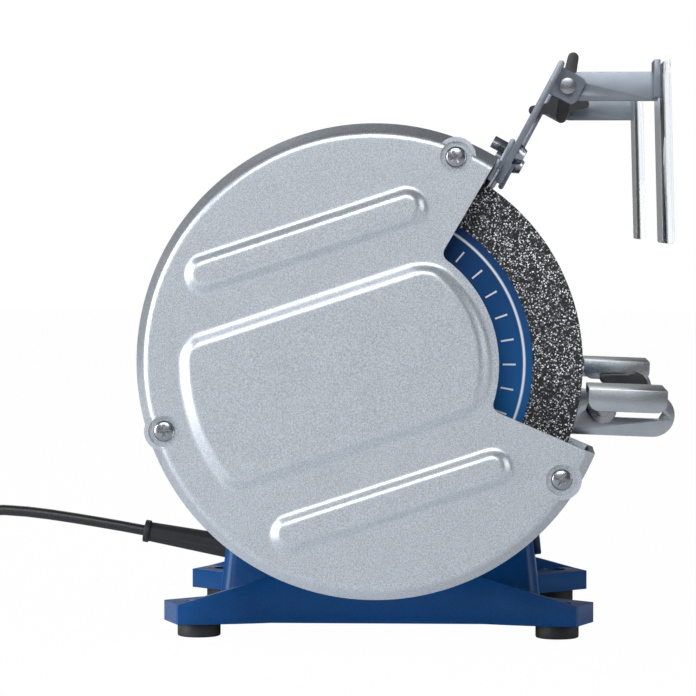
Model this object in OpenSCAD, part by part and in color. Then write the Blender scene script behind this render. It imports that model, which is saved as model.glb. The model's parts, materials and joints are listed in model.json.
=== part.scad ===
// Bench grinder with two guarded wheels on a cast pedestal base.
// Millimetres. X runs along the motor shaft, -Y faces the operator, +Z is up.
// The origin is the centre of the four bench bolts on the plane that the feet stand on.

/* [Motor] */
// Height of the shaft above the bench
axis_z = 140.7; // [138:0.1:150]
// Radius of the cast motor housing
motor_r = 72; // [70:0.5:74]
// Half length of the motor housing
motor_half = 98; // [92:1:100]
// Wall of the motor housing and the end shields
motor_wall = 5; // [4:0.5:6]
// Half length of the laminated cores
core_half = 32; // [26:1:36]
// Radius of the rotor core
rotor_r = 41; // [36:0.5:44]
// Air gap between rotor and stator
air_gap = 0.6; // [0.5:0.1:1]
// Shaft radius in the bearings
shaft_r = 10; // [9:0.5:11]
// Bearing outer radius
bearing_r = 23.5; // [22:0.5:26]
// Bearing width
bearing_w = 14; // [12:1:16]
// Distance from the middle to the inner face of each bearing
bearing_x = 110; // [106:1:111]

/* [Wheels] */
// Radius of a new wheel
wheel_r = 100; // [94:0.5:101]
// Width of a wheel
wheel_w = 25; // [20:0.5:26]
// Distance from the middle of the machine to the middle of a wheel
wheel_x = 170; // [169:0.5:171]
// Bore radius of a wheel
wheel_bore = 16; // [14:0.5:18]
// Radius of the paper washer on each side of a wheel
label_r = 76.5; // [60:0.5:80]
// Thickness of the paper washer
label_t = 0.6; // [0.4:0.1:0.8]
// Radius of the clamping flanges
flange_r = 42; // [36:1:44]

/* [Guards] */
// Tilt of the guard opening above the horizontal
guard_tilt = 18.2; // [10:0.2:24]
// Shift of the guard centre towards the opening
guard_shift = 2.6; // [0:0.2:4]
// Outer radius of the guard drum
guard_r = 111.5; // [111:0.1:114]
// Wall of the cast guard drum
guard_wall = 3; // [2.5:0.1:3.5]
// Distance from the middle to the inboard face of the guard
guard_in = 140; // [139:0.5:141]
// Thickness of the back wall of the guard
back_t = 4; // [3:0.5:5]
// Distance from the middle to the joint between drum and cover
guard_split = 190; // [188:0.5:191]
// Distance from the middle to the flat face of the cover
guard_out = 199; // [198.5:0.5:203]
// Sheet thickness of the cover
cover_t = 2; // [1.2:0.1:2.4]
// Radius of the flat face of the cover
face_r = 104.3; // [103:0.1:105]
// Radius of the bend between face and shoulder
bend_r = 4; // [3:0.5:5]
// Half angle of the opening
open_half = 41.5; // [36:0.5:44]
// Distance from the shaft axis to each cut edge of the opening
open_offset = 3.5; // [1:0.5:5]
// Radius of the inner edge of the opening
open_r = 60.8; // [58:0.2:64]
// Corner radius of the opening
open_corner = 4; // [2:0.5:6]
// Height of the raised panel and ribs on the cover
emboss_h = 3; // [1.5:0.5:4]
// Width of the slope around the raised panel and ribs
emboss_slope = 5; // [3:0.5:6]
// Half width of a rib at its foot
rib_half = 9.5; // [8.5:0.5:11]
// Distance of each rib from the centre line of the cover
rib_offset = 63.8; // [61:0.5:66]
// Half width of the raised panel at its foot
panel_half = 38.6; // [34:0.2:41]
// Radius on which the cover screws sit
screw_ring = 103; // [102.5:0.1:103.4]
// Angle between the opening's centre line and the two front cover screws
screw_angle = 50; // [47:0.5:54]
// Radius of the pocket round a cover screw
pocket_r = 7.3; // [6.4:0.1:7.4]
// Depth of the pocket round a cover screw
pocket_depth = 3; // [2:0.5:3.5]

/* [Tool rests] */
// Height of the slotted arm
arm_h = 21; // [18:0.5:24]
// Thickness of the slotted arm
arm_t = 4; // [3:0.5:5]
// Distance from the shaft axis down to the slot of the arm
arm_drop = 24; // [22.4:0.2:25.4]
// Distance from the shaft axis to the front end of the arm
arm_reach = 145; // [144:1:154]
// Droop of the arm towards the front
arm_droop = 2; // [0:0.5:3]
// Height of the slot in the arm
slot_h = 6.6; // [6.2:0.1:7.6]
// Length over which the rest can slide out
rest_travel = 22; // [10:1:24]
// Distance from the shaft axis to the clamp bolt of the rest
rest_bolt_u = 110.3; // [110:0.5:112]
// Depth of the rest table from the wheel to the front
rest_depth = 36.7; // [30:0.5:40]
// Height of the skirts of the rest table
skirt_h = 10.5; // [8:0.5:12]
// Sheet thickness of the rest table
rest_t = 2; // [1.5:0.1:2.2]

/* [Eye shields] */
// Angle of the shield bar above the horizontal
bar_angle = 61.8; // [60:0.2:63]
// Length of the shield bar
bar_len = 65; // [62:1:80]
// Thickness of the shield bar
bar_t = 3; // [2:0.5:4]
// Width of the shield bar
bar_w = 20; // [18:1:22]
// Height of the clear shield
shield_h = 84; // [76:1:110]
// Width of the clear shield
shield_w = 120; // [100:1:140]
// Thickness of the clear shield
shield_t = 3; // [2:0.5:4]
// Distance from the clamp pivot to the shield
shield_reach = 42.6; // [42:0.2:60]

/* [Base] */
// Distance between the bench bolts along the shaft
bolt_x = 167; // [160:1:172]
// Distance between the bench bolts from front to back
bolt_y = 179; // [172:1:184]
// Radius of a bench bolt hole
bolt_hole_r = 3.5; // [2.5:0.5:4]
// Radius of a rubber foot
foot_r = 10.8; // [10:0.2:11.6]
// Height of a rubber foot
foot_h = 7; // [5:0.5:10]
// Thickness of the base plate and its legs
plate_t = 10; // [8:0.5:12]
// Height of the side walls above the base plate
side_wall_h = 13.2; // [8:0.2:18]
// Thickness of the side walls
side_wall_t = 4; // [3:0.5:5]
// Half width of the base between the legs
side_x = 89; // [86:0.5:92]
// Half length of the straight part of the side walls
side_y = 53; // [46:1:60]
// Half width of the base over the leg tips
leg_x = 100; // [98:0.5:106]
// Half length of the base over the outer corners of the leg tips
leg_y = 98.6; // [96:0.2:104]
// Half length of the pedestal from front to back at its foot
pedestal_y = 82; // [79:0.5:84]
// Half width of the pedestal along the shaft
pedestal_x = 70; // [66:1:74]
// Draft of the pedestal walls
pedestal_draft = 6.6; // [4:0.2:8]
// Corner radius of the pedestal
pedestal_corner = 7; // [5.5:0.5:10]
// Wall of the pedestal
base_wall = 5; // [4:0.5:7]

/* [Switch and cord] */
// Width of the switch plate
switch_w = 62; // [56:1:70]
// Height of the switch plate
switch_h = 42; // [38:1:46]
// Radius of a push button
button_r = 10; // [8:0.5:11]
// Travel of a push button
button_travel = 3; // [2:0.5:3.5]
// Distance of each button from the middle of the switch plate
button_x = 15; // [13:0.5:17]
// Diameter of the cord
cord_d = 5.6; // [5:0.2:6.6]
// Length of the tapered sleeve round the cord
sleeve_len = 48; // [30:1:60]

/* [Hidden] */
$fn = 64;

// Sides of the machine
LEFT = -1;
RIGHT = 1;
SIDES = [LEFT, RIGHT];

// Colours
CAST_BLUE = "#15569a";
BEZEL_BLUE = "#12365f";
GUARD_SILVER = "#b4bcc4";
ZINC = "#a9afb6";
STEEL = "#8f959c";
BLACK = "#1c1d20";
ABRASIVE = "#3a3b3d";
LABEL_BLUE = "#0e4a86";
COPPER = "#b06a3a";
LAMINATION = "#6d7075";
CLEAR = "#dfe8ee";

// Clearances
fit = 0.05;      // running and slide fits
gap = 0.3;       // between loose neighbours
over = 1;        // how far a cut runs past the face it opens

// Fasteners
m4_r = 2;
m4_head_r = 3.6;
m4_head_h = 2;
m5_r = 2.5;
m6_r = 3;
pan_head_r = 4.9;
pan_head_h = 2.6;
screw_head_r = m5_r + 2;
hex_sides = 6;

// Arc of points round a centre, and a shallow bow of points from p to q
function unit(a) = [cos(a), sin(a)];
function arc(c, r, a0, a1, steps = 8) = [for (i = [0 : steps]) c + r * unit(a0 + (a1 - a0) * i / steps)];
// The same arc without its last point, for outlines that run on into another arc
function open_arc(c, r, a0, a1, steps = 8) = [for (i = [0 : steps - 1]) c + r * unit(a0 + (a1 - a0) * i / steps)];
function bow(p, q, sag, steps = 6) =
    let (n = [q[1] - p[1], p[0] - q[0]] / norm(q - p))
    [for (i = [0 : steps]) p + (q - p) * i / steps + n * sag * 4 * (i / steps) * (1 - i / steps)];
function rounded(x0, y0, x1, y1, r) = concat(
    arc([x1 - r, y1 - r], r, 0, 90), arc([x0 + r, y1 - r], r, 90, 180),
    arc([x0 + r, y0 + r], r, 180, 270), arc([x1 - r, y0 + r], r, 270, 360));

// Frames of reference. In outward() the drawing plane is the side view of the machine:
// x points to the operator, y points up and z is the distance out from the middle.
module side(s) mirror([s > 0 ? 1 : 0, 0, 0]) children();
module outward() translate([0, 0, axis_z]) rotate([90, 0, -90]) children();
// Round the wheel axis, with x along the centre line of the guard opening
module guard_frame() outward() rotate([0, 0, guard_tilt]) children();
// Along the upper cut edge of the guard, with y pointing away from the opening
module cut_frame() guard_frame() rotate([0, 0, open_half]) children();
// Along the shield bar, with y pointing away from the operator
module bar_frame()
    cut_frame()
        translate([bar_foot_e, -open_offset - bar_gap, 0])
            rotate([0, 0, bar_angle - guard_tilt - open_half])
                children();
// Along the slotted arm of a tool rest, with the origin on the slot line below the shaft axis
module arm_frame() outward() translate([arm_pivot_u, -arm_drop, 0]) rotate([0, 0, -arm_droop]) children();
// A straight prism between two distances from the middle
module slab(w0, w1) translate([0, 0, w0]) linear_extrude(w1 - w0) children();
// A rod between two distances from the middle
module rod(r, w0, w1) translate([0, 0, w0]) cylinder(r = r, h = w1 - w0);

// Wheels and what clamps them
wheel_in = wheel_x - wheel_w / 2;
wheel_out = wheel_x + wheel_w / 2;
bearing_out = bearing_x + bearing_w;
hub_r = shaft_r + 5;
flange_t = 10;
flange_face = 8;                 // width of the ring that presses on the wheel
flange_relief = 1.5;
outer_flange_t = 4.5;
nut_r = 17;
nut_h = 9;
shaft_end = wheel_out + label_t + outer_flange_t + nut_h + 0.4;

// Motor
stator_in = rotor_r + air_gap;
stator_out = motor_r - motor_wall - 7;
core_shaft_r = shaft_r + 4;
winding_l = 20;
bolt_ring = (stator_out + motor_r - motor_wall) / 2;
bolt_angles = [45, 135, 225, 315];
hub_face_r = 46;
nose_r = 30;
nose_len = 3;
seal_r = hub_r + 2;
hub_face_l = 12;
shield_rim_l = 10;
bell_t = 4;
bearing_wall = 6;
bearing_lip = 2;
bolt_seat = motor_half + 14;
bolt_boss_r = m5_r + 3.5;
bolt_head_r = 2 * m5_r;
bolt_head_h = 4;

// Guards
cover_in = guard_out - cover_t;
drum_in = guard_in + back_t;
lug_r = guard_r - guard_wall - screw_ring + 1;
lug_base = wheel_out + 2;
post_r = 5;                      // spacer under each pocket of the cover
pocket_floor = guard_out - pocket_depth;
lug_top = pocket_floor - cover_t;
screw_angles = [screw_angle, 180, -screw_angle];
guard_screw_ring = 38;
guard_screw_l = 10;
cut_far = 2 * guard_r;
panel_corner = 9;
panel_left_r = 91;
panel_right_r = open_r - 3.3;
rib_start = -59.3;
rib_end = 39.8;

// Spark arrestors and shield bars
flange_lip_t = 3;
flange_lip_w0 = drum_in;
flange_lip_w1 = wheel_in - 2;
arrestor_out = 8;                // how far the arrestor draws back from the wheel
lip_start = open_r + 5;
lip_screw_pitch = 16;
lip_screw_x = lip_start + over + arrestor_out + gap + m4_r;
lip_screws = [lip_screw_x, lip_screw_x + lip_screw_pitch];
arrestor_t = 2;
arrestor_gap = 2.3;
arrestor_in = 2;                 // how far the arrestor may follow a worn wheel
arrestor_top = wheel_r + 13;
arrestor_w1 = guard_split + 2;
bar_foot_e = wheel_r + 3.4;
bar_gap = 5.3;
bar_x = 160;
bar_bolt = 16.3;
tab_t = 2.7;
tab_foot = 6;
tab_len = 15.8;
pivot_x = 55.8;
pivot_y = -7.7;
cheek_t = 3;
cheek_r = 6.9;
arm_plate_t = 3;
arm_plate_r = 6.9;
arm_x = bar_x - 2.5;             // inboard face of the shield arm
shield_x = 165;
cheek_corner = 3;
cheek_in = arm_x - cheek_t - fit;
cheek_out = arm_x + arm_plate_t + cheek_t + fit;
pivot_head_h = 3.5;
bar_head_r = 5.4;
bar_head_tip = 3.6;
bar_head_h = 4;
bar_nut_r = 3.4;
pivot_head_r = 3.8;
nut_l = 7;
arm_end_r = -pivot_y - bar_t / 2 - gap;
arm_flange_w = 30;
knob_end_t = 2;                  // closed end of a wing knob
shield_knob_l = 10;
shield_hub_r = 6.5;
shield_wing_l = 17;
shield_wing_root = 3.4;
shield_wing_tip = 2.6;
knob_in = bar_x - bar_w / 2 - gap;
knob_out = knob_in - shield_knob_l;
shield_knob_turn = [17, 125];
shield_top = 9.8;                // height of the shield's top above the clamp pivot
arm_flange_top = 11.5;
arm_flange_low = -6;
shield_lean = 1.5;

// Tool rests
arm_pivot_u = rest_bolt_u;
arm_in = guard_in - arm_t;
arm_len = arm_reach - rest_bolt_u;
arm_root = -60;
arm_foot_w = 30;
arm_foot_h = 17;
arm_foot_slope = 6;
arm_screws = [[-52, -20.6], [-38, -20.6]];
slot_rise = 1.6;                 // height of the slot line over the middle of the arm
slot_end = arm_len - 5.8;
slot_start = -8;
table_top = arm_h / 2 + gap + rest_t;
table_in = arm_in - gap - rest_t;
table_out = 195;
table_back = -8.2;
skirt_corner = 5;
table_lug_r = 7;
clamp_plate_r = 6.4;
clamp_plate_t = 3;
rest_knob_l = 14;
knob_hub_r = 7;
wing_l = 20;
wing_root = 6;
wing_tip = 2.2;
wing_step = 4;
rest_knob_turn = [185, 170];
bolt_end = 2;
set_out = [0, 4.8];              // how far each rest stands out from the wheel
function pick(s, pair) = pair[s > 0 ? 1 : 0];
// The two rests are the same part, so the right one has its bolt at the front end
function bolt_at(s) = pick(s, [0, rest_depth + 2 * table_back + set_out[1]]);

// Base
plate_top = foot_h + plate_t;
pedestal_top = axis_z - 32.7;
function face_y(z) = pedestal_y - (z - foot_h) * tan(pedestal_draft);
foot_at = [for (x = [-1, 1], y = [-1, 1]) [x * bolt_x / 2, y * bolt_y / 2]];
leg_inner = [77, 107.7];
leg_inner_root = [50, 79];
leg_bow = 1.5;
cover_plate_t = 2;
cover_lip = 4;
pocket_leg_r = 7;

// Switch
switch_z = 56.5;
switch_t = 3.5;
bezel_corner = 5;
button_gap = 0.3;
button_out = 6.5;
button_in = 5;
button_flange_r = button_r + 1.4;
button_flange = [-3, -1];
switch_box = [52, 30, 30];
switch_back = button_in + button_travel + 1;
capacitor_r = 19;
capacitor_l = 70;

// Cord. The route's points are [y, z] in the middle plane, from the end of the sleeve to the coil.
cord_r = cord_d / 2;
gland_rise = 10.3;
gland_z = 36.3;
sleeve_r0 = 6.25;
sleeve_r1 = 5;
collar_r = 5.85;
collar_l = 3;
flange_plate_r = 9;
flange_plate_t = 2;
sleeve_base = [0, face_y(gland_z), gland_z];
cord_route = [[126, 45], [138, 47.2], [150, 49.2], [163, 51.3], [176, 53.2], [188, 54.6], [200, 55.4],
    [211, 55], [221, 53], [230, 49.4], [238, 44.4], [245, 38.2], [251, 31.4], [257, 24.6],
    [264, 18], [272, 12.2], [281, 7.6], [291, 4.6], [302, 3], [314, 2.8]];
coil_turn_r = 32;
coil_rows = 3;
coil_half = coil_rows * cord_r;
coil_y = 320;
coil_x = coil_turn_r + cord_d;
tail_z = coil_rows * cord_d - cord_r;
tail_route = [[coil_x, tail_z], [45, 14.2], [52, 14.8], [58, 15.6], [64, 16.6], [70, 17.4], [77, 17.9]];
plug_r = 18;
plug_x = 77;
plug_l = 34;
pin_r = 2.4;
pin_l = 19;
pin_gap = 9.5;
cord_sides = 10;

// ---- Motor ----
module across() translate([0, 0, axis_z]) rotate([0, 90, 0]) children();
module tube(r0, r1, l) difference() {
    cylinder(r = r1, h = l, center = true);
    cylinder(r = r0, h = l + 2 * over, center = true);
}

module motor_housing() color(CAST_BLUE) across() difference() {
    union() {
        cylinder(r = motor_r, h = 2 * motor_half, center = true);
        for (s = SIDES) translate([0, 0, s * (motor_half - 5)]) cylinder(r = motor_r + 1.5, h = 10, center = true);
    }
    cylinder(r = motor_r - motor_wall, h = 2 * motor_half + 2 * over, center = true);
}

module end_shield(s) color(CAST_BLUE) side(s) outward() difference() {
    union() {
        rotate_extrude() polygon([
            [seal_r, guard_in + nose_len], [nose_r - fit, guard_in + nose_len], [nose_r - fit, guard_in],
            [hub_face_r, guard_in], [hub_face_r, guard_in - hub_face_l], [motor_r, motor_half + shield_rim_l],
            [motor_r, motor_half], [motor_r - motor_wall, motor_half],
            [motor_r - motor_wall, motor_half + shield_rim_l - bell_t], [hub_face_r, bearing_out - bearing_lip],
            [bearing_r + bearing_wall, bearing_out - bearing_lip], [bearing_r + bearing_wall, bearing_x],
            [bearing_r + fit, bearing_x],
            [bearing_r + fit, bearing_out], [seal_r, bearing_out]
        ]);
        for (a = bolt_angles) translate(bolt_ring * unit(a)) rod(bolt_boss_r, motor_half, bolt_seat);
    }
    for (a = bolt_angles) translate(bolt_ring * unit(a)) {
        rod(m5_r + fit, motor_half - over, bolt_seat + over);
        rod(bolt_head_r + gap, bolt_seat, guard_in + over);
    }
    at_guard_screws() rod(m5_r, guard_in - guard_screw_l, guard_in + over);
}

module through_bolts() color(ZINC) across() for (a = bolt_angles) translate(bolt_ring * unit(a)) {
    cylinder(r = m5_r, h = 2 * bolt_seat, center = true);
    for (s = SIDES) translate([0, 0, s * (bolt_seat + bolt_head_h / 2)])
        cylinder(r = bolt_head_r, h = bolt_head_h, center = true, $fn = hex_sides);
}

module stator_core() color(LAMINATION) across() tube(stator_in, stator_out, 2 * core_half);

module stator_windings() color(COPPER) across() for (s = SIDES)
    translate([0, 0, s * (core_half + winding_l / 2)]) tube(stator_in + 3, stator_out - 3, winding_l);

module rotor_core() color(LAMINATION) across() tube(core_shaft_r, rotor_r, 2 * core_half + 12);

module motor_shaft() color(STEEL) across() {
    cylinder(r = core_shaft_r, h = 2 * bearing_x, center = true);
    cylinder(r = shaft_r, h = 2 * shaft_end, center = true);
}

module bearings() color(STEEL) across() for (s = SIDES) translate([0, 0, s * (bearing_x + bearing_w / 2)])
    tube(shaft_r + fit, bearing_r, bearing_w);

module capacitor() color(GUARD_SILVER) translate([0, 14, foot_h + cover_plate_t + capacitor_r + 3])
    rotate([0, 90, 0]) cylinder(r = capacitor_r, h = capacitor_l, center = true);

// ---- Wheels ----
module grinding_wheel(s) color(ABRASIVE) side(s) outward() difference() {
    rod(wheel_r, wheel_in, wheel_out);
    rod(wheel_bore, wheel_in - over, wheel_out + over);
}

module wheel_labels() color(LABEL_BLUE) for (s = SIDES) side(s) outward() difference() {
    union() {
        rod(label_r, wheel_out, wheel_out + label_t);
        rod(label_r, wheel_in - label_t, wheel_in);
    }
    rod(wheel_bore, wheel_in - over, wheel_out + over);
}

module wheel_flanges() color(ZINC) for (s = SIDES) side(s) outward() {
    difference() {
        union() {
            rod(hub_r, bearing_out, wheel_in);
            rod(flange_r, wheel_in - label_t - flange_t, wheel_in - label_t);
            rod(wheel_bore - fit, wheel_in - label_t, wheel_x);
        }
        difference() {
            rod(flange_r - flange_face, wheel_in - label_t - flange_relief, wheel_in - label_t + fit);
            rod(wheel_bore - fit, wheel_in - flange_t, wheel_in);
        }
        rod(shaft_r + fit, bearing_out - over, wheel_x + over);
    }
    difference() {
        rod(flange_r, wheel_out + label_t, wheel_out + label_t + outer_flange_t);
        rod(flange_r - flange_face, wheel_out, wheel_out + label_t + flange_relief);
        rod(shaft_r + fit, wheel_out, guard_out);
    }
}

module spindle_nuts() color(ZINC) for (s = SIDES) side(s) outward() difference() {
    translate([0, 0, wheel_out + label_t + outer_flange_t]) cylinder(r = nut_r, h = nut_h, $fn = hex_sides);
    rod(shaft_r + fit, wheel_out, guard_out);
}

// ---- Guards ----
// The opening between the two cut edges, with the corners next to the middle rounded
module opening_outline() {
    e = unit(open_half);
    m = [e[1], -e[0]];
    c = e * sqrt(pow(open_r + open_corner, 2) - pow(open_offset + open_corner, 2)) + m * (open_offset + open_corner);
    turn = atan2(c[1], c[0]);
    edge_end = [open_offset / e[1], 0] + cut_far * e;
    polygon(concat([edge_end], open_arc(c, open_corner, 90 + open_half, 180 + turn, 6),
        open_arc([0, 0], open_r, turn, -turn, 16), arc([c[0], -c[1]], open_corner, 180 - turn, 270 - open_half, 6),
        [[edge_end[0], -edge_end[1]]]));
}

// Section through the cover from its middle to its rim, drawn for the outer or the inner skin
function cover_section(r, top) =
    let (c = [face_r, guard_out - bend_r],
         d = [guard_r, guard_split] - c,
         a = atan2(d[1], d[0]) + acos(bend_r / norm(d)),
         foot = c + r * unit(a))
    concat([[0, guard_split - over], [0, top]], [for (p = arc(c, r, 90, a, 6)) p],
        [[foot[0] + (foot[1] - guard_split) * tan(a), guard_split],
         [foot[0] + (foot[1] - guard_split) * tan(a), guard_split - over]]);

module cover_skin(r, top) translate([guard_shift, 0, 0]) intersection() {
    rotate_extrude($fn = 128) polygon(cover_section(r, top));
    rod(cut_far, r == bend_r ? guard_split : guard_split - over, guard_out);
}

// A long rib with sloping sides and round ends
module rib(half, slope, w0, h) {
    translate([0, 0, w0]) {
        for (x = [rib_start, rib_end]) translate([x, 0, 0]) cylinder(r1 = half, r2 = half - slope, h = h);
        translate([rib_start, 0, 0]) rotate([90, 0, 90]) linear_extrude(rib_end - rib_start)
            polygon([[-half, 0], [half, 0], [half - slope, h], [slope - half, h]]);
    }
}

// Outline of the raised panel, drawn smaller by the given amount
function panel_outline(inset) =
    let (c = panel_corner - inset, y = panel_half - panel_corner,
         ar = asin(y / (panel_right_r - panel_corner)),
         al = asin(y / (panel_left_r - panel_corner)),
         right = (panel_right_r - panel_corner) * unit(ar),
         left = [guard_shift, 0] + (panel_left_r - panel_corner) * unit(180 - al))
    concat(open_arc([0, 0], panel_right_r - inset, -ar, ar), open_arc(right, c, ar, 90, 5), [right + [0, c]],
        open_arc(left, c, 90, 180 - al, 5), open_arc([guard_shift, 0], panel_left_r - inset, 180 - al, 180 + al),
        open_arc([left[0], -left[1]], c, 180 + al, 270, 5), [[left[0], -left[1] - c]],
        open_arc([right[0], -right[1]], c, 270, 360 - ar, 5));

// A raised panel with sloping sides
module panel(inset, w0, h) {
    foot = panel_outline(inset);
    crown = panel_outline(inset + emboss_slope);
    n = len(foot);
    polyhedron(concat([for (p = foot) [p[0], p[1], w0]], [for (p = crown) [p[0], p[1], w0 + h]]),
        concat([[for (i = [0 : n - 1]) i]], [[for (i = [n - 1 : -1 : 0]) n + i]],
            [for (i = [0 : n - 1]) [i, n + i, n + (i + 1) % n, (i + 1) % n]]));
}

module at_cover_screws() for (a = screw_angles)
    translate([guard_shift, 0, 0] + screw_ring * [cos(a), sin(a), 0]) children();

module guard_cover(s) color(GUARD_SILVER) side(s) guard_frame() difference() {
    union() {
        cover_skin(bend_r, guard_out);
        panel(0, guard_out - fit, emboss_h + fit);
        for (k = [-1, 1]) translate([0, k * rib_offset, 0]) rib(rib_half, emboss_slope, guard_out - fit, emboss_h + fit);
    }
    difference() {
        union() {
            cover_skin(bend_r - cover_t, cover_in);
            panel(cover_t, cover_in - fit, emboss_h + fit);
            for (k = [-1, 1]) translate([0, k * rib_offset, 0])
                rib(rib_half - cover_t, emboss_slope, cover_in - fit, emboss_h + fit);
        }
        at_cover_screws() {
            rod(pocket_r + cover_t, lug_top, guard_out);
            rod(post_r, guard_split - 2 * over, guard_out);
        }
    }
    at_cover_screws() rod(pocket_r, pocket_floor, guard_out + over);
    at_cover_screws() rod(m5_r + fit, guard_split - over, guard_out);
    slab(guard_split - over, guard_out + emboss_h + over) opening_outline();
}

module cover_screws() color(STEEL) for (s = SIDES) side(s) guard_frame() at_cover_screws() {
    rod(pan_head_r, pocket_floor, pocket_floor + pan_head_h);
    rod(m5_r - fit, lug_base, pocket_floor);
}

module at_guard_screws() for (a = bolt_angles) translate(guard_screw_ring * unit(a)) children();

module inner_guard(s) color(GUARD_SILVER) side(s) difference() {
    union() {
        guard_frame() {
            translate([guard_shift, 0, 0]) difference() {
                rod(guard_r, guard_in, guard_split, $fn = 128);
                rod(guard_r - guard_wall, drum_in, guard_split + over, $fn = 128);
            }
            at_cover_screws() rod(lug_r, lug_base, guard_split - fit);
        }
        cut_frame() translate([lip_start, -open_offset, drum_in - fit])
            cube([wheel_r + 2 - lip_start, flange_lip_t, flange_lip_w1 - drum_in + fit]);
    }
    guard_frame() slab(guard_in - over, guard_out) opening_outline();
    guard_frame() at_cover_screws() rod(m5_r, lug_base - over, guard_out);
    outward() rod(nose_r, guard_in - over, drum_in + over);
    outward() at_guard_screws() rod(m5_r + fit, guard_in - over, drum_in + over);
    arm_frame() for (p = arm_screws) translate(p) rod(m5_r, guard_in - over, drum_in + over);
    cut_frame() for (x = lip_screws) translate([x, -open_offset, (flange_lip_w0 + flange_lip_w1) / 2])
        rotate([90, 0, 0]) cylinder(r = m4_r, h = 2 * flange_lip_t + 2 * over, center = true);
}

// Screws that hold the guards to the end shields and the slotted arms to the guards
module guard_screws() color(STEEL) for (s = SIDES) side(s) {
    outward() at_guard_screws() {
        rod(screw_head_r, drum_in, drum_in + pan_head_h);
        rod(m5_r - fit, guard_in - guard_screw_l, drum_in);
    }
    arm_frame() for (p = arm_screws) translate(p) {
        rod(screw_head_r, arm_in - pan_head_h, arm_in);
        rod(m5_r - fit, arm_in, drum_in);
    }
}

// ---- Tool rests ----
function slot_outline(x0, x1, h) =
    let (p = h / 2 / tan(60)) [[x0, 0], [x0 + p, -h / 2], [x1 - p, -h / 2], [x1, 0], [x1 - p, h / 2], [x0 + p, h / 2]];

module rest_arm(s) color(ZINC) side(s) arm_frame() difference() {
    translate([0, -slot_rise, 0]) slab(arm_in, guard_in) polygon(concat(
        [[arm_root, arm_h / 2], [arm_root, -arm_h / 2 - arm_foot_h],
         [arm_root + arm_foot_w, -arm_h / 2 - arm_foot_h], [arm_root + arm_foot_w + arm_foot_slope, -arm_h / 2]],
        arc([arm_len - arm_h / 2, 0], arm_h / 2, -90, 90, 16)));
    slab(arm_in - over, guard_in + over) polygon(slot_outline(slot_start, slot_end, slot_h));
    for (p = arm_screws) translate(p) rod(m5_r + fit, arm_in - over, guard_in + over);
}

// The table of a rest, with its back edge, front edge and bolt hole placed along the arm
module rest_table(s) color(ZINC) side(s) arm_frame() {
    back = table_back + pick(s, set_out);
    front = back + rest_depth;
    skirt = rounded(back, table_top - skirt_h, front, table_top + skirt_corner, skirt_corner);
    difference() {
        union() {
            slab(table_in, table_out) polygon([[back, table_top - rest_t], [front, table_top - rest_t],
                [front, table_top], [back, table_top]]);
            for (w = [table_in, table_out - rest_t]) slab(w, w + rest_t) intersection() {
                polygon(skirt);
                polygon([[back, -cut_far], [front, -cut_far], [front, table_top], [back, table_top]]);
            }
            translate([bolt_at(s), 0, 0]) rod(table_lug_r, table_in, table_in + rest_t);
            translate([bolt_at(s) - table_lug_r, 0, table_in])
                cube([2 * table_lug_r, table_top - skirt_h + 2, rest_t]);
        }
        translate([bolt_at(s), 0, 0]) rod(m6_r + fit, table_in - over, table_in + rest_t + over);
    }
}

module rest_clamp(s) color(STEEL) side(s) arm_frame() translate([bolt_at(s), 0, 0]) {
    rod(clamp_plate_r, guard_in + fit, guard_in + clamp_plate_t);
    rod(m6_r, table_in - rest_knob_l + knob_end_t + gap, guard_in + clamp_plate_t + bolt_end);
}

// A wing that runs out from a hub and ends in a thick rounded tip
module wing(l, root, tip, w0, w1) {
    slab(w0, w1) polygon([[0, -root], [l - tip, -tip], [l - tip, tip], [0, root]]);
    translate([l - tip, 0, 0]) rod(tip, w0, w1);
}

module rest_knob(s) color(BLACK) side(s) arm_frame() translate([bolt_at(s), 0, 0]) difference() {
    union() {
        rod(knob_hub_r, table_in - rest_knob_l, table_in - fit);
        rotate([0, 0, pick(s, rest_knob_turn)])
            wing(wing_l, wing_root, wing_tip, table_in - rest_knob_l, table_in - wing_step);
    }
    rod(m6_r + fit, table_in - rest_knob_l + knob_end_t, table_in + over);
}

// ---- Spark arrestors and eye shields ----
module spark_arrestor(s) color(ZINC) side(s) difference() {
    union() {
        cut_frame() translate([0, -open_offset - fit - arrestor_t, 0]) {
            translate([lip_start, 0, flange_lip_w0 + fit])
                cube([arrestor_top - lip_start, arrestor_t, flange_lip_w1 - flange_lip_w0 - fit]);
            translate([wheel_r + arrestor_gap, 0, flange_lip_w0 + fit])
                cube([arrestor_top - wheel_r - arrestor_gap, arrestor_t, arrestor_w1 - flange_lip_w0 - fit]);
        }
        bar_frame() {
            slab(bar_x - bar_w / 2, bar_x + bar_w / 2) polygon(rounded(
                tab_foot, bar_t / 2 + fit, tab_foot + tab_len, bar_t / 2 + tab_t, tab_t / 2 - fit));
        }
    }
    cut_frame() slab_slot();
    bar_frame() across_bar(bar_bolt) cylinder(r = m4_r + fit, h = 4 * (bar_t + tab_t), center = true);
}
// The long slot that lets the arrestor follow the wheel
module slab_slot() translate([0, -open_offset - arrestor_t / 2, (flange_lip_w0 + flange_lip_w1) / 2])
    rotate([90, 0, 0]) linear_extrude(4 * arrestor_t, center = true)
        polygon(rounded(lip_start + over, -m4_r - gap, lip_screws[1] + m4_r + gap + arrestor_in, m4_r + gap, m4_r));
module across_bar(x) translate([x, 0, bar_x]) rotate([90, 0, 0]) children();

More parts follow.
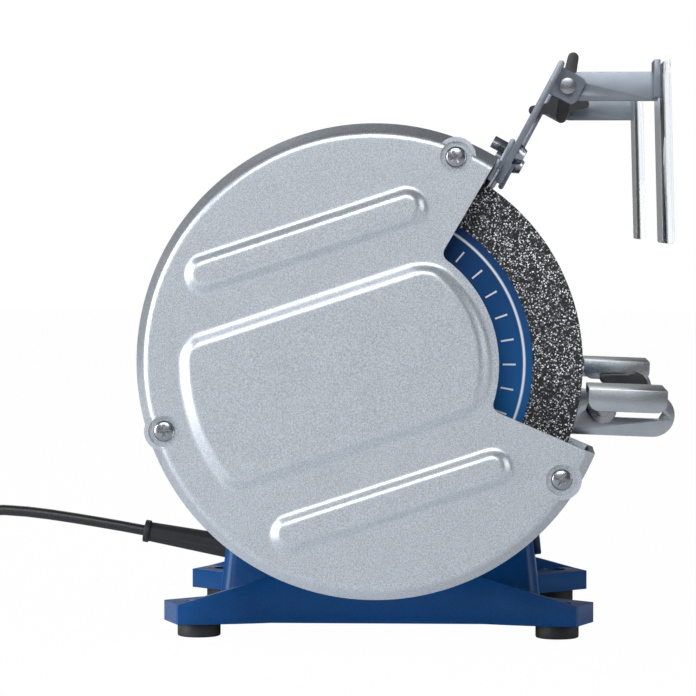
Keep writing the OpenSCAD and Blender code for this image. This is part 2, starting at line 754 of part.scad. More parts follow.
module arrestor_screws() color(STEEL) for (s = SIDES) side(s) cut_frame() for (x = lip_screws)
    translate([x, -open_offset, (flange_lip_w0 + flange_lip_w1) / 2]) rotate([90, 0, 0]) {
        translate([0, 0, arrestor_t + 2 * fit]) cylinder(r = m4_head_r, h = m4_head_h);
        translate([0, 0, -flange_lip_t]) cylinder(r = m4_r - fit, h = flange_lip_t + arrestor_t + over);
    }

module shield_bar(s) color(ZINC) side(s) bar_frame() difference() {
    union() {
        difference() {
            slab(bar_x - bar_w / 2, bar_x + bar_w / 2)
                polygon(rounded(0, -bar_t / 2, bar_len, bar_t / 2, bar_t / 2 - fit));
            across_bar(bar_bolt) cylinder(r = m4_r + fit, h = 2 * bar_t, center = true);
        }
        for (w = [cheek_in, arm_x + arm_plate_t + fit]) slab(w, w + cheek_t)
            polygon(concat(arc([pivot_x - cheek_r + cheek_corner, pivot_y - cheek_r + cheek_corner], cheek_corner, 180, 270),
                arc([pivot_x + cheek_r - cheek_corner, pivot_y - cheek_r + cheek_corner], cheek_corner, 270, 360),
                [[pivot_x + cheek_r, 0], [pivot_x - cheek_r, 0]]));
    }
    translate([pivot_x, pivot_y, 0]) rod(m5_r + fit, bar_x - bar_w, bar_x + bar_w);
}

// The hex bolt and nut through the bar, and the bolt on which the shield arm turns
module shield_bolts(s) color(STEEL) side(s) bar_frame() {
    across_bar(bar_bolt) {
        translate([0, 0, bar_t / 2]) cylinder(r1 = bar_head_r, r2 = bar_head_tip, h = bar_head_h);
        translate([0, 0, -bar_t / 2 - tab_t - nut_l]) rotate([0, 0, 30]) cylinder(r = bar_nut_r, h = nut_l, $fn = hex_sides);
        translate([0, 0, -bar_t / 2 - tab_t - over]) cylinder(r = m4_r, h = bar_t + tab_t + 2 * over);
    }
    translate([pivot_x, pivot_y, 0]) {
        rod(pivot_head_r, cheek_out, cheek_out + pivot_head_h);
        rod(m5_r, knob_out + knob_end_t + gap, cheek_out + over);
    }
}

// Side view frame with its origin on the clamp pivot
module pivot_frame() bar_frame() translate([pivot_x, pivot_y, 0]) rotate([0, 0, -bar_angle]) children();
module shield_frame() pivot_frame() translate([shield_reach, shield_top, 0]) rotate([0, 0, shield_lean]) children();

module shield_arm(s) color(ZINC) side(s) pivot_frame() difference() {
    union() {
        slab(arm_x, arm_x + arm_plate_t) polygon(concat(
            arc([0, 0], arm_end_r, 90, 270, 16), [[arm_end_r, -arm_plate_r], [shield_reach, -arm_plate_r],
            [shield_reach, arm_plate_r], [arm_end_r, arm_plate_r]]));
        slab(arm_x, arm_x + arm_flange_w) polygon([[shield_reach - arm_plate_t, arm_flange_low],
            [shield_reach, arm_flange_low], [shield_reach, arm_flange_top], [shield_reach - arm_plate_t, arm_flange_top]]);
    }
    rod(m5_r + fit, arm_x - over, arm_x + arm_plate_t + over);
}

module eye_shield(s) color(CLEAR, 0.5) side(s) shield_frame()
    slab(shield_x - shield_w / 2, shield_x + shield_w / 2)
        polygon(rounded(fit, -shield_h, shield_t, 0, shield_t / 3));

module shield_knob(s) color(BLACK) side(s) bar_frame() translate([pivot_x, pivot_y, 0]) difference() {
    union() {
        rod(arm_end_r, knob_in, cheek_in - fit);
        rod(shield_hub_r, knob_out, knob_in);
        rotate([0, 0, pick(s, shield_knob_turn)]) for (a = [0, 180]) rotate([0, 0, a])
            wing(shield_wing_l, shield_wing_root, shield_wing_tip, knob_out, knob_in - knob_end_t);
    }
    rod(m5_r + fit, knob_out + knob_end_t, cheek_in + over);
}

// ---- Base ----
// The drafted block of the pedestal with its round corners, drawn smaller by the given wall
module pedestal_block(wall, z0) {
    h = pedestal_top + over - z0;
    drop = h * tan(pedestal_draft);
    x0 = pedestal_x - (z0 - foot_h) * tan(pedestal_draft) - wall;
    y0 = face_y(z0) - wall;
    r = max(pedestal_corner - wall, over);
    translate([0, 0, z0]) linear_extrude(h, scale = [1 - drop / x0, 1 - drop / y0], slices = 1, $fn = 8) polygon(rounded(-x0, -y0, x0, y0, r));
}

// Quarter outlines of the base plate and of its side wall, from the front face to the side
function side_line() = bow([leg_x, leg_y], [side_x, side_y], -leg_bow);
plate_quarter = concat([[0, 0], [0, leg_inner_root[1]], leg_inner_root, leg_inner], side_line(), [[side_x, 0]]);
wall_quarter = concat(side_line(), [[side_x, 0], [side_x - side_wall_t, 0], [side_x - side_wall_t, side_y],
    [leg_x - side_wall_t, leg_y + side_wall_t * (leg_inner[1] - leg_y) / (leg_x - leg_inner[0])]]);

module quarters() for (x = [0, 1], y = [0, 1]) mirror([x, 0, 0]) mirror([0, y, 0]) children();

module side_wall() intersection() {
    translate([0, 0, foot_h]) linear_extrude(plate_t + side_wall_h) polygon(wall_quarter);
    rotate([90, 0, 90]) linear_extrude(2 * leg_x) polygon([[-over, 0], [leg_inner[1] + over, 0],
        [leg_inner[1] + over, plate_top], [leg_y, plate_top + fit], [side_y, plate_top + side_wall_h],
        [-over, plate_top + side_wall_h]]);
}

// The seat of the push buttons on the leaning front face, with z pointing out of the face
module switch_frame() translate([0, -face_y(switch_z), switch_z]) rotate([90 - pedestal_draft, 0, 0]) children();
module gland_frame() translate(sleeve_base) rotate([gland_rise - 90, 0, 0]) children();

module base_casting() color(CAST_BLUE) difference() {
    union() {
        quarters() translate([0, 0, foot_h]) linear_extrude(plate_t) polygon(plate_quarter);
        quarters() side_wall();
        intersection() {
            pedestal_block(0, foot_h);
            translate([0, 0, pedestal_top / 2]) cube([4 * pedestal_x, 4 * pedestal_y, pedestal_top], center = true);
        }
    }
    difference() {
        pedestal_block(base_wall, foot_h - over);
        across() cylinder(r = motor_r + base_wall, h = 4 * pedestal_x, center = true);
    }
    across() cylinder(r = motor_r + fit, h = 4 * pedestal_x, center = true);
    translate([0, 0, foot_h - over]) linear_extrude(cover_plate_t + over + fit) square(cover_plate_size(fit), center = true);
    for (p = foot_at) translate(p) cylinder(r = bolt_hole_r, h = axis_z);
    for (p = foot_at) translate([p[0], p[1], plate_top - 1.5]) cylinder(r = pocket_leg_r, h = axis_z);
    switch_frame() cube([switch_box[0] + 2, switch_box[1] + 2, 6 * base_wall], center = true);
    gland_frame() {
        cylinder(r = sleeve_r0 + fit, h = 4 * base_wall, center = true);
        translate([0, 0, -fit]) cylinder(r = flange_plate_r + gap, h = flange_plate_r);
    }
}

function cover_plate_size(extra) = [2 * (pedestal_x - base_wall + cover_lip + extra),
    2 * (pedestal_y - base_wall + cover_lip - 2 + extra)];
module base_cover() color(BLACK) translate([0, 0, foot_h]) linear_extrude(cover_plate_t)
    square(cover_plate_size(0), center = true);

module rubber_feet() color(BLACK) for (p = foot_at) translate(p) difference() {
    cylinder(r = foot_r, h = foot_h);
    translate([0, 0, -over]) cylinder(r = bolt_hole_r, h = foot_h + 2 * over);
}

// ---- Switch ----
module switch_bezel() color(BEZEL_BLUE) switch_frame() difference() {
    linear_extrude(switch_t) polygon(rounded(-switch_w / 2, -switch_h / 2, switch_w / 2, switch_h / 2, bezel_corner));
    for (x = [-button_x, button_x]) translate([x, 0, -over]) cylinder(r = button_r + button_gap, h = switch_t + 2 * over);
}

module switch_body() color(BLACK) switch_frame() translate([0, 0, -switch_back - switch_box[2] / 2])
    cube([switch_box[0] - 2, switch_box[1] - 2, switch_box[2]], center = true);

module button(x) switch_frame() translate([x, 0, 0]) {
    translate([0, 0, -button_in]) cylinder(r = button_r, h = button_in + button_out);
    translate([0, 0, button_flange[0]]) cylinder(r = button_flange_r, h = button_flange[1] - button_flange[0]);
}
module start_button() color("#2f9e4f") button(-button_x);
module stop_button() color("#c62828") button(button_x);

// ---- Cord ----
module cord_sleeve() color(BLACK) gland_frame() difference() {
    union() {
        translate([0, 0, -base_wall]) cylinder(r = sleeve_r0, h = base_wall);
        cylinder(r = flange_plate_r, h = flange_plate_t);
        cylinder(r1 = sleeve_r0, r2 = sleeve_r1, h = sleeve_len);
        translate([0, 0, sleeve_len - collar_l]) cylinder(r = collar_r, h = collar_l);
    }
    translate([0, 0, -base_wall - over]) cylinder(r = cord_r + fit, h = sleeve_len + base_wall - over);
}

// Rings of a tube round a route, where the route gives for each point its place and its heading
function ring(p, a, b) = [for (i = [0 : cord_sides - 1]) p + cord_r * (cos(360 * i / cord_sides) * a + sin(360 * i / cord_sides) * b)];
module swept(points, across_dir) {
    n = len(points);
    last = n - 1;
    heads = [for (i = [0 : last]) points[min(i + 1, last)] - points[max(i - 1, 0)]];
    rings = [for (i = [0 : last]) let (h = heads[i] / norm(heads[i])) ring(points[i], across_dir, cross(h, across_dir))];
    polyhedron([for (r = rings) for (p = r) p], concat(
        [[for (i = [0 : cord_sides - 1]) i]],
        [for (k = [0 : last - 1], i = [0 : cord_sides - 1]) let (j = (i + 1) % cord_sides)
            [k * cord_sides + i, (k + 1) * cord_sides + i, (k + 1) * cord_sides + j, k * cord_sides + j]],
        [[for (i = [cord_sides - 1 : -1 : 0]) last * cord_sides + i]]), convexity = 4);
}

module cord() color(BLACK) swept([for (p = cord_route) [0, p[0], p[1]]], [1, 0, 0]);
module cord_tail() color(BLACK)
    swept([for (p = tail_route) [p[0], coil_y + coil_turn_r, p[1]]], [0, 1, 0]);

module cord_coil() color(BLACK) translate([coil_x, coil_y, 0]) rotate_extrude()
    polygon(rounded(coil_turn_r - coil_half, 0, coil_turn_r + coil_half, 2 * coil_half, cord_r));

module plug() color(BLACK) translate([plug_x, coil_y + coil_turn_r, plug_r]) rotate([0, 90, 0]) {
    cylinder(r1 = 7, r2 = 13, h = plug_l / 2);
    translate([0, 0, plug_l / 2]) cylinder(r = plug_r, h = plug_l / 2 + 4);
    for (x = [-pin_gap, pin_gap]) translate([0, x, plug_l + 4]) cylinder(r = pin_r, h = pin_l);
}

base_casting();
base_cover();
rubber_feet();
motor_housing();
end_shield(LEFT);  // end_shield_left
end_shield(RIGHT);  // end_shield_right
stator_core();
stator_windings();
through_bolts();
capacitor();
motor_shaft();
rotor_core();
bearings();
switch_bezel();
switch_body();
start_button();
stop_button();
cord_sleeve();
cord();
cord_tail();
cord_coil();
plug();
inner_guard(LEFT);  // inner_guard_left
inner_guard(RIGHT);  // inner_guard_right
guard_cover(LEFT);  // guard_cover_left
guard_cover(RIGHT);  // guard_cover_right
guard_screws();
cover_screws();
grinding_wheel(LEFT);  // grinding_wheel_left
grinding_wheel(RIGHT);  // grinding_wheel_right
wheel_labels();
wheel_flanges();
spindle_nuts();
rest_arm(LEFT);  // rest_arm_left
rest_arm(RIGHT);  // rest_arm_right
rest_table(LEFT);  // rest_table_left
rest_table(RIGHT);  // rest_table_right
rest_clamp(LEFT);  // rest_clamp_left
rest_clamp(RIGHT);  // rest_clamp_right
rest_knob(LEFT);  // rest_knob_left
rest_knob(RIGHT);  // rest_knob_right
spark_arrestor(LEFT);  // spark_arrestor_left
spark_arrestor(RIGHT);  // spark_arrestor_right
arrestor_screws();
shield_bar(LEFT);  // shield_bar_left
shield_bar(RIGHT);  // shield_bar_right
shield_bolts(LEFT);  // shield_bolts_left
shield_bolts(RIGHT);  // shield_bolts_right
shield_arm(LEFT);  // shield_arm_left
shield_arm(RIGHT);  // shield_arm_right
eye_shield(LEFT);  // eye_shield_left
eye_shield(RIGHT);  // eye_shield_right
shield_knob(LEFT);  // shield_knob_left
shield_knob(RIGHT);  // shield_knob_right
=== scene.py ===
"""Looks of a bench grinder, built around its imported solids."""

import json
import logging
import math
from dataclasses import dataclass
from enum import Enum
from typing import Any, Callable, Iterable, Sequence

import bpy
from mathutils import Matrix, Vector

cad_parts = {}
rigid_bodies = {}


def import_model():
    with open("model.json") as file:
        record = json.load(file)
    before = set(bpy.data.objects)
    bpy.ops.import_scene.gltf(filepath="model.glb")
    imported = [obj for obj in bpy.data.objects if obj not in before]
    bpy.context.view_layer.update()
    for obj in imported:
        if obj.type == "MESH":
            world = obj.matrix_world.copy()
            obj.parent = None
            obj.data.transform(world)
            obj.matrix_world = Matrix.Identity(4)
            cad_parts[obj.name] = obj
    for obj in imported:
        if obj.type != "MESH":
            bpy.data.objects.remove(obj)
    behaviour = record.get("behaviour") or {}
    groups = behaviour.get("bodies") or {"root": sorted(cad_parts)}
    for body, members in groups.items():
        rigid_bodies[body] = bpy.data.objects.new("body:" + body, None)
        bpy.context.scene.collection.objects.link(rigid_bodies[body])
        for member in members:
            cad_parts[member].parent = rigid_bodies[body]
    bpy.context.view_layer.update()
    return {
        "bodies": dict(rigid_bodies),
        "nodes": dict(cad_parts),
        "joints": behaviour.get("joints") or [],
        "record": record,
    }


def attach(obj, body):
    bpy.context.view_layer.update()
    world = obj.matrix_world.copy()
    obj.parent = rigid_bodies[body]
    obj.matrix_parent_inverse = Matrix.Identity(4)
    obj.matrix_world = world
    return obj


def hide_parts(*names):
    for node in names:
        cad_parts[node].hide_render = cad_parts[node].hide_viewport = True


log = logging.getLogger("bench_grinder")

MM = 0.001
FULL_TURN = 2 * math.pi
AXIS_Z = 140.7  # height of the shaft over the bench
Profile = Sequence[tuple[float, float]]
Point = tuple[float, float, float]
Blank = tuple[bpy.types.Material, bpy.types.NodeTree, bpy.types.Node, bpy.types.NodeSocket]
Rounded = Sequence[tuple[str, "Finish", float]]
Plain = Sequence[tuple[str, "Finish"]]


class Side(Enum):
    """The two ends of the machine, with the sign of X on each."""

    LEFT = -1
    RIGHT = 1

    @property
    def tag(self) -> str:
        """The side's name as the nodes and bodies have it."""
        return self.name.lower()


class Join(Enum):
    """What a tool does to the solid that it meets."""

    ADD = "UNION"
    REMOVE = "DIFFERENCE"


# ---- Colours and nodes ----


def srgb(code: str) -> tuple[float, float, float, float]:
    """Turns an sRGB hex colour to linear.

    Args:
        code: Six hex digits, with or without a leading hash sign.

    Returns:
        Red, green, blue and an alpha of one.
    """
    code = code.lstrip("#")
    parts = [int(code[i : i + 2], 16) / 255 for i in (0, 2, 4)]
    linear = [c / 12.92 if c <= 0.04045 else ((c + 0.055) / 1.055) ** 2.4 for c in parts]
    return (linear[0], linear[1], linear[2], 1.0)


def node(
    tree: bpy.types.NodeTree,
    kind: str,
    settings: dict[str, Any] | None = None,
    stops: Sequence[tuple[float, str]] = (),
    **links: Any,
) -> bpy.types.Node:
    """Adds a shader node.

    Args:
        tree: The tree that gets the node.
        kind: The node's type without its ShaderNode prefix.
        settings: Properties of the node.
        stops: A colour ramp's places from 0 to 1, each with a hex colour.
        **links: Inputs by name, with spaces as underscores, or by place as i0, i1.
            A value is a number, a colour or another node's output.

    Returns:
        The new node.
    """
    made = tree.nodes.new("ShaderNode" + kind)
    for name, value in (settings or {}).items():
        setattr(made, name, value)
    if stops:
        band = made.color_ramp.elements
        while len(band) < len(stops):
            band.new(1.0)
        for element, (place, code) in zip(band, stops):
            element.position = place
            element.color = srgb(code)
    for name, value in links.items():
        number = name[1:]
        by_place = name[0] == "i" and number.isdigit()
        socket = made.inputs[int(number) if by_place else name.replace("_", " ")]
        if isinstance(value, bpy.types.NodeSocket):
            tree.links.new(value, socket)
        else:
            socket.default_value = value
    return made


# ---- Finishes ----


@dataclass(frozen=True)
class Finish:
    """One surface finish: what the material is, and the numbers that its shader starts from."""

    name: str
    color: str
    roughness: float
    metallic: float = 0.0
    ior: float = 1.5
    mottle: float = 0.0
    mottle_mm: float = 6.0
    grain: float = 0.0
    grain_mm: float = 0.6
    bump: float = 0.0
    bump_mm: float = 0.8
    bump_depth_mm: float = 0.02
    coat: float = 0.0
    coat_roughness: float = 0.1
    specular: float = 0.5
    uneven: float = 0.15  # share by which the roughness varies

    def blank(self) -> Blank:
        """Makes a material with nothing set.

        Returns:
            The material, its tree, its shader and its Object coordinates.
        """
        made = bpy.data.materials.new(self.name)
        made.use_nodes = True
        tree = made.node_tree
        return made, tree, tree.nodes["Principled BSDF"], node(tree, "TexCoord").outputs["Object"]

    def shades(self, tree: bpy.types.NodeTree, place: bpy.types.NodeSocket) -> bpy.types.NodeSocket:
        """The base colour with its wide mottle and its fine grain.

        Args:
            tree: The material's tree.
            place: Object coordinates.

        Returns:
            The colour output.
        """
        patterns = ((self.mottle, self.mottle_mm, 3.0), (self.grain, self.grain_mm, 1.0))
        parts = []
        for depth, size_mm, detail in patterns:
            noise = node(tree, "TexNoise", Vector=place, Scale=1 / (size_mm * MM), Detail=detail)
            part = node(
                tree, "MapRange", Value=noise.outputs["Fac"], i1=0.3, i2=0.7, i3=1 - depth, i4=1 + depth
            )
            parts.append(part.outputs[0])
        both = node(tree, "Math", {"operation": "MULTIPLY"}, i0=parts[0], i1=parts[1])
        mixed = node(
            tree, "VectorMath", {"operation": "SCALE"}, i0=srgb(self.color)[:3], Scale=both.outputs[0]
        )
        return mixed.outputs[0]

    def build(self) -> bpy.types.Material:
        """Makes the material.

        Returns:
            The new material, named for the finish.
        """
        made, tree, shader, place = self.blank()
        tree.links.new(self.shades(tree, place), shader.inputs["Base Color"])
        rough = node(tree, "TexNoise", Vector=place, Scale=1 / (self.bump_mm * MM), Detail=2.0)
        spread = node(
            tree, "MapRange", Value=rough.outputs["Fac"], i1=0.25, i2=0.75,
            i3=self.roughness * (1 - self.uneven), i4=self.roughness * (1 + self.uneven),
        )
        tree.links.new(spread.outputs[0], shader.inputs["Roughness"])
        if self.bump:
            bump = node(
                tree, "Bump", Height=rough.outputs["Fac"], Strength=self.bump,
                Distance=self.bump_depth_mm * MM,
            )
            tree.links.new(bump.outputs[0], shader.inputs["Normal"])
        shader.inputs["Metallic"].default_value = self.metallic
        shader.inputs["IOR"].default_value = self.ior
        shader.inputs["Coat Weight"].default_value = self.coat
        shader.inputs["Coat Roughness"].default_value = self.coat_roughness
        shader.inputs["Specular IOR Level"].default_value = self.specular
        return made


@dataclass(frozen=True)
class AbrasiveGrain(Finish):
    """Vitrified grit of about half a millimetre, drawn as coarse as shows: dark grains of random tone, the
    brightest ramped to white as painted glints.
    """

    grain_tones_and_glints: Sequence[tuple[float, str]] = (
        (0.56, "#08090B"), (0.74, "#2C3034"), (0.88, "#8A9096"), (1.0, "#FFFFFF"),
    )

    def build(self) -> bpy.types.Material:
        """Makes the material.

        Returns:
            The new material, named for the finish.
        """
        made, tree, shader, place = self.blank()
        cells = node(tree, "TexVoronoi", Vector=place, Scale=1 / (self.grain_mm * MM))
        speck = node(tree, "SeparateColor", Color=cells.outputs["Color"])
        # Random grain tones; the top of the ramp goes to white as painted glints.
        shade = node(tree, "ValToRGB", stops=[(0.0, self.color), *self.grain_tones_and_glints], Fac=speck.outputs[0])
        tree.links.new(shade.outputs["Color"], shader.inputs["Base Color"])
        grit = node(tree, "TexNoise", Vector=place, Scale=1 / (self.bump_mm * MM), Detail=3.0)
        height = node(
            tree, "Math", {"operation": "ADD"}, i0=cells.outputs["Distance"], i1=grit.outputs["Fac"]
        )
        bump = node(
            tree, "Bump", Height=height.outputs[0], Strength=self.bump, Distance=self.bump_depth_mm * MM
        )
        tree.links.new(bump.outputs[0], shader.inputs["Normal"])
        shader.inputs["Roughness"].default_value = self.roughness
        return made


class ClearSheet(Finish):
    """Clear polycarbonate: see-through, with a faint cool tint and bright edges."""

    def build(self) -> bpy.types.Material:
        """Makes the material.

        Returns:
            The new material, named for the finish.
        """
        made, tree, shader, place = self.blank()
        haze = node(tree, "TexNoise", Vector=place, Scale=1 / (self.bump_mm * MM))
        level = node(
            tree, "MapRange", Value=haze.outputs["Fac"], i3=self.roughness, i4=self.roughness * 2
        )
        tree.links.new(level.outputs[0], shader.inputs["Roughness"])
        shader.inputs["Base Color"].default_value = srgb(self.color)
        shader.inputs["Transmission Weight"].default_value = 1.0
        shader.inputs["IOR"].default_value = self.ior
        return made


@dataclass(frozen=True)
class WheelLabel(Finish):
    """Printed paper disc: a blue field, one thin pale ring and even tick marks; the field darkens upwards as
    painted shade.
    """

    lit_low_color: str = "#0F659F"
    shaded_top_color: str = "#0A2A58"
    print_color: str = "#D5DADF"
    disc_mm: float = 76.5
    span_mm: float = 80.0
    ring: tuple[float, float, float, float] = (0.898, 0.902, 0.912, 0.916)  # shares of the span
    ticks: int = 36
    tick_share: float = 0.07
    tick_in_mm: float = 62.5
    tick_out_mm: float = 68.5

    def printed(
        self, tree: bpy.types.NodeTree, along: bpy.types.NodeSocket, up: bpy.types.NodeSocket
    ) -> bpy.types.NodeSocket:
        """Where the pale ink lies: the ring and the tick marks.

        Args:
            tree: The material's tree.
            along: Distance along the bench from the shaft.
            up: Height over the shaft.

        Returns:
            One where there is ink and nought elsewhere.
        """
        flat = node(tree, "CombineXYZ", X=along, Y=up, Z=0.0)
        radius = node(tree, "VectorMath", {"operation": "LENGTH"}, i0=flat.outputs[0]).outputs["Value"]
        share = node(tree, "MapRange", Value=radius, i1=0.0, i2=self.span_mm * MM)
        start, full, fall, end = self.ring
        stops = [
            (0.0, "#000000"), (start, "#000000"), (full, "#FFFFFF"), (fall, "#FFFFFF"), (end, "#000000"),
        ]
        ring = node(tree, "ValToRGB", stops=stops, Fac=share.outputs[0])
        turn = node(tree, "Math", {"operation": "ARCTAN2"}, i0=up, i1=along)
        count = node(
            tree, "Math", {"operation": "MULTIPLY"}, i0=turn.outputs[0], i1=self.ticks / FULL_TURN
        )
        part = node(tree, "Math", {"operation": "FRACT"}, i0=count.outputs[0])
        thin = node(tree, "Math", {"operation": "LESS_THAN"}, i0=part.outputs[0], i1=self.tick_share)
        past = node(tree, "Math", {"operation": "GREATER_THAN"}, i0=radius, i1=self.tick_in_mm * MM)
        short = node(tree, "Math", {"operation": "LESS_THAN"}, i0=radius, i1=self.tick_out_mm * MM)
        band = node(tree, "Math", {"operation": "MULTIPLY"}, i0=past.outputs[0], i1=short.outputs[0])
        tick = node(tree, "Math", {"operation": "MULTIPLY"}, i0=thin.outputs[0], i1=band.outputs[0])
        ink = node(
            tree, "Math", {"operation": "MAXIMUM"}, i0=ring.outputs["Color"], i1=tick.outputs[0]
        )
        return ink.outputs[0]

    def build(self) -> bpy.types.Material:
        """Makes the material.

        Returns:
            The new material, named for the finish.
        """
        made, tree, shader, place = self.blank()
        parts = node(tree, "SeparateXYZ", Vector=place)
        up = node(tree, "Math", {"operation": "SUBTRACT"}, i0=parts.outputs["Z"], i1=AXIS_Z * MM)
        disc = self.disc_mm * MM
        span = node(tree, "MapRange", Value=up.outputs[0], i1=-disc, i2=disc, i3=0.0, i4=1.0)
        # The blue is lighter below and darker above: painted shade, keyed to the height over the shaft.
        stops = [(0.0, self.lit_low_color), (0.45, self.color), (1.0, self.shaded_top_color)]
        ground = node(tree, "ValToRGB", stops=stops, Fac=span.outputs[0])
        ink = self.printed(tree, parts.outputs["Y"], up.outputs[0])
        mixed = node(
            tree, "Mix", {"data_type": "RGBA"}, i0=ink, i6=ground.outputs["Color"],
            i7=srgb(self.print_color),
        )
        tree.links.new(mixed.outputs[2], shader.inputs["Base Color"])
        fibre = node(tree, "TexNoise", Vector=place, Scale=1 / (self.bump_mm * MM), Detail=3.0)
        bump = node(
            tree, "Bump", Height=fibre.outputs["Fac"], Strength=self.bump, Distance=self.bump_depth_mm * MM
        )
        tree.links.new(bump.outputs[0], shader.inputs["Normal"])
        shader.inputs["Roughness"].default_value = self.roughness
        shader.inputs["Specular IOR Level"].default_value = self.specular
        return made


# Enamel on cast aluminium: a glossy skin over slightly rough casting, so highlights are soft and grainy.
CAST_ENAMEL = Finish(
    "cast_enamel_blue", "#033E74", 0.34, mottle=0.05, mottle_mm=9, grain=0.12, grain_mm=0.9,
    bump=0.6, bump_mm=1.0, bump_depth_mm=0.05, specular=0.2,
)
# Metallic lacquer on pressed steel: satin, with flakes that sparkle. They are drawn coarser than real ones.
GUARD_LACQUER = Finish(
    "metallic_lacquer_silver", "#B9C0C8", 0.38, metallic=0.9, mottle=0.02, mottle_mm=14,
    grain=0.26, grain_mm=0.55, bump=0.7, bump_mm=0.6, bump_depth_mm=0.02,
)
# Zinc plate on sheet steel: bright and a little uneven.
ZINC_PLATE = Finish(
    "zinc_plated_sheet", "#A2A8AE", 0.30, metallic=1.0, mottle=0.05, mottle_mm=8,
    grain=0.05, grain_mm=0.5, bump=0.25, bump_mm=0.5, bump_depth_mm=0.01,
)
# Passivated zinc on thicker plate: duller and greyer than the bright sheet.
DULL_ZINC = Finish(
    "passivated_zinc_plate", "#7A818A", 0.42, metallic=0.9, mottle=0.06, mottle_mm=9,
    grain=0.06, grain_mm=0.5, bump=0.25, bump_mm=0.5, bump_depth_mm=0.01,
)
# Turned and plated steel: darker, with sharper reflections.
BRIGHT_STEEL = Finish(
    "turned_steel", "#8E9298", 0.26, metallic=1.0, mottle=0.05, mottle_mm=5,
    bump=0.2, bump_mm=0.4, bump_depth_mm=0.01,
)
# Moulded rubber: near black, with no clear highlight.
BLACK_RUBBER = Finish(
    "moulded_rubber", "#17181A", 0.62, grain=0.15, bump=0.5, bump_mm=0.7, bump_depth_mm=0.03
)
# Extruded vinyl: black, with one long soft highlight.
CORD_VINYL = Finish("cord_vinyl", "#141517", 0.42, grain=0.08, bump=0.2, bump_mm=1.2, bump_depth_mm=0.02)
# Glass-filled nylon: black, with the fine spark texture of its mould.
BLACK_NYLON = Finish(
    "moulded_nylon", "#1A1B1E", 0.45, grain=0.12, bump=0.5, bump_mm=0.6, bump_depth_mm=0.03
)
# Moulded ABS: smooth, and glossier on the two buttons than on the plate round them.
BEZEL_PLASTIC = Finish("moulded_abs_dark_blue", "#12325A", 0.38, bump=0.3, bump_mm=0.5, bump_depth_mm=0.02)
GREEN_BUTTON = Finish(
    "moulded_abs_green", "#2F8F3F", 0.30, bump=0.15, bump_mm=0.5, bump_depth_mm=0.01, coat=0.2
)
RED_BUTTON = Finish(
    "moulded_abs_red", "#B8231F", 0.30, bump=0.15, bump_mm=0.5, bump_depth_mm=0.01, coat=0.2
)
# Varnished electrical sheet and winding wire: dull grey, and a warm satin brown.
LAMINATIONS = Finish("varnished_core_steel", "#5A5C60", 0.5, metallic=0.6, bump=0.3)
COPPER = Finish("varnished_copper", "#8A4A26", 0.38, metallic=0.9, bump=0.6, bump_mm=0.9, bump_depth_mm=0.1)
# Vitrified abrasive: matte grit of random tone, its white grains painted glints that stand for grains
# catching the light one by one.
ABRASIVE = AbrasiveGrain(
    "vitrified_abrasive", "#020303", 0.7, grain_mm=0.5, bump=0.8, bump_mm=0.7, bump_depth_mm=0.25
)
# Clear polycarbonate sheet: bright edges and a surface that is almost unseen.
CLEAR_SHEET = ClearSheet("clear_polycarbonate", "#F1F6FA", 0.02, ior=1.45, bump_mm=12)
# Printed blotting paper with little shine; its blue is lighter below and darker above as painted shade.
WHEEL_LABEL = WheelLabel(
    "printed_blotter_paper", "#0D4E88", 0.7, bump=0.3, bump_mm=0.8, bump_depth_mm=0.03, specular=0.2
)


class Finishes:
    """Builds each finish once and hands it out."""

    def __init__(self) -> None:
        """Starts with no material made."""
        self.made: dict[str, bpy.types.Material] = {}

    def get(self, finish: Finish) -> bpy.types.Material:
        """The material of a finish.

        Args:
            finish: Which finish.

        Returns:
            Its material, made on the first call.
        """
        if finish.name not in self.made:
            self.made[finish.name] = finish.build()
        return self.made[finish.name]


# ---- Modelling helpers ----


def only(obj: bpy.types.Object) -> None:
    """Selects one object and makes it the active one.

    Args:
        obj: The object.
    """
    bpy.ops.object.select_all(action="DESELECT")
    obj.hide_set(False)
    obj.select_set(True)
    bpy.context.view_layer.objects.active = obj


def new_mesh(
    name: str,
    points: Iterable[Sequence[float]],
    edges: Sequence[tuple[int, int]] = (),
    faces: Iterable[Sequence[int]] = (),
) -> bpy.types.Object:
    """Adds a mesh object from points in metres.

    Args:
        name: The object's name.
        points: Corner points.
        edges: Pairs of corners.
        faces: Rings of corners.

    Returns:
        The new object, selected and active.
    """
    mesh = bpy.data.meshes.new(name)
    mesh.from_pydata([tuple(p) for p in points], list(edges), [list(f) for f in faces])
    obj = bpy.data.objects.new(name, mesh)
    bpy.context.scene.collection.objects.link(obj)
    only(obj)
    return obj


def edit(obj: bpy.types.Object, *steps: Callable[[], Any]) -> None:
    """Runs edit-mode steps on the whole mesh.

    Args:
        obj: The object.
        *steps: Calls to make with everything selected.
    """
    only(obj)
    bpy.ops.object.mode_set(mode="EDIT")
    bpy.ops.mesh.select_mode(type="VERT")
    for step in steps:
        bpy.ops.mesh.select_all(action="SELECT")
        step()
    bpy.ops.object.mode_set(mode="OBJECT")


def apply_modifier(obj: bpy.types.Object, kind: str, **settings: Any) -> None:
    """Adds a modifier and applies it.

    Args:
        obj: The object.
        kind: The modifier's type.
        **settings: Its properties.
    """
    only(obj)
    made = obj.modifiers.new(kind.lower(), kind)
    for name, value in settings.items():
        setattr(made, name, value)
    bpy.ops.object.modifier_apply(modifier=made.name)


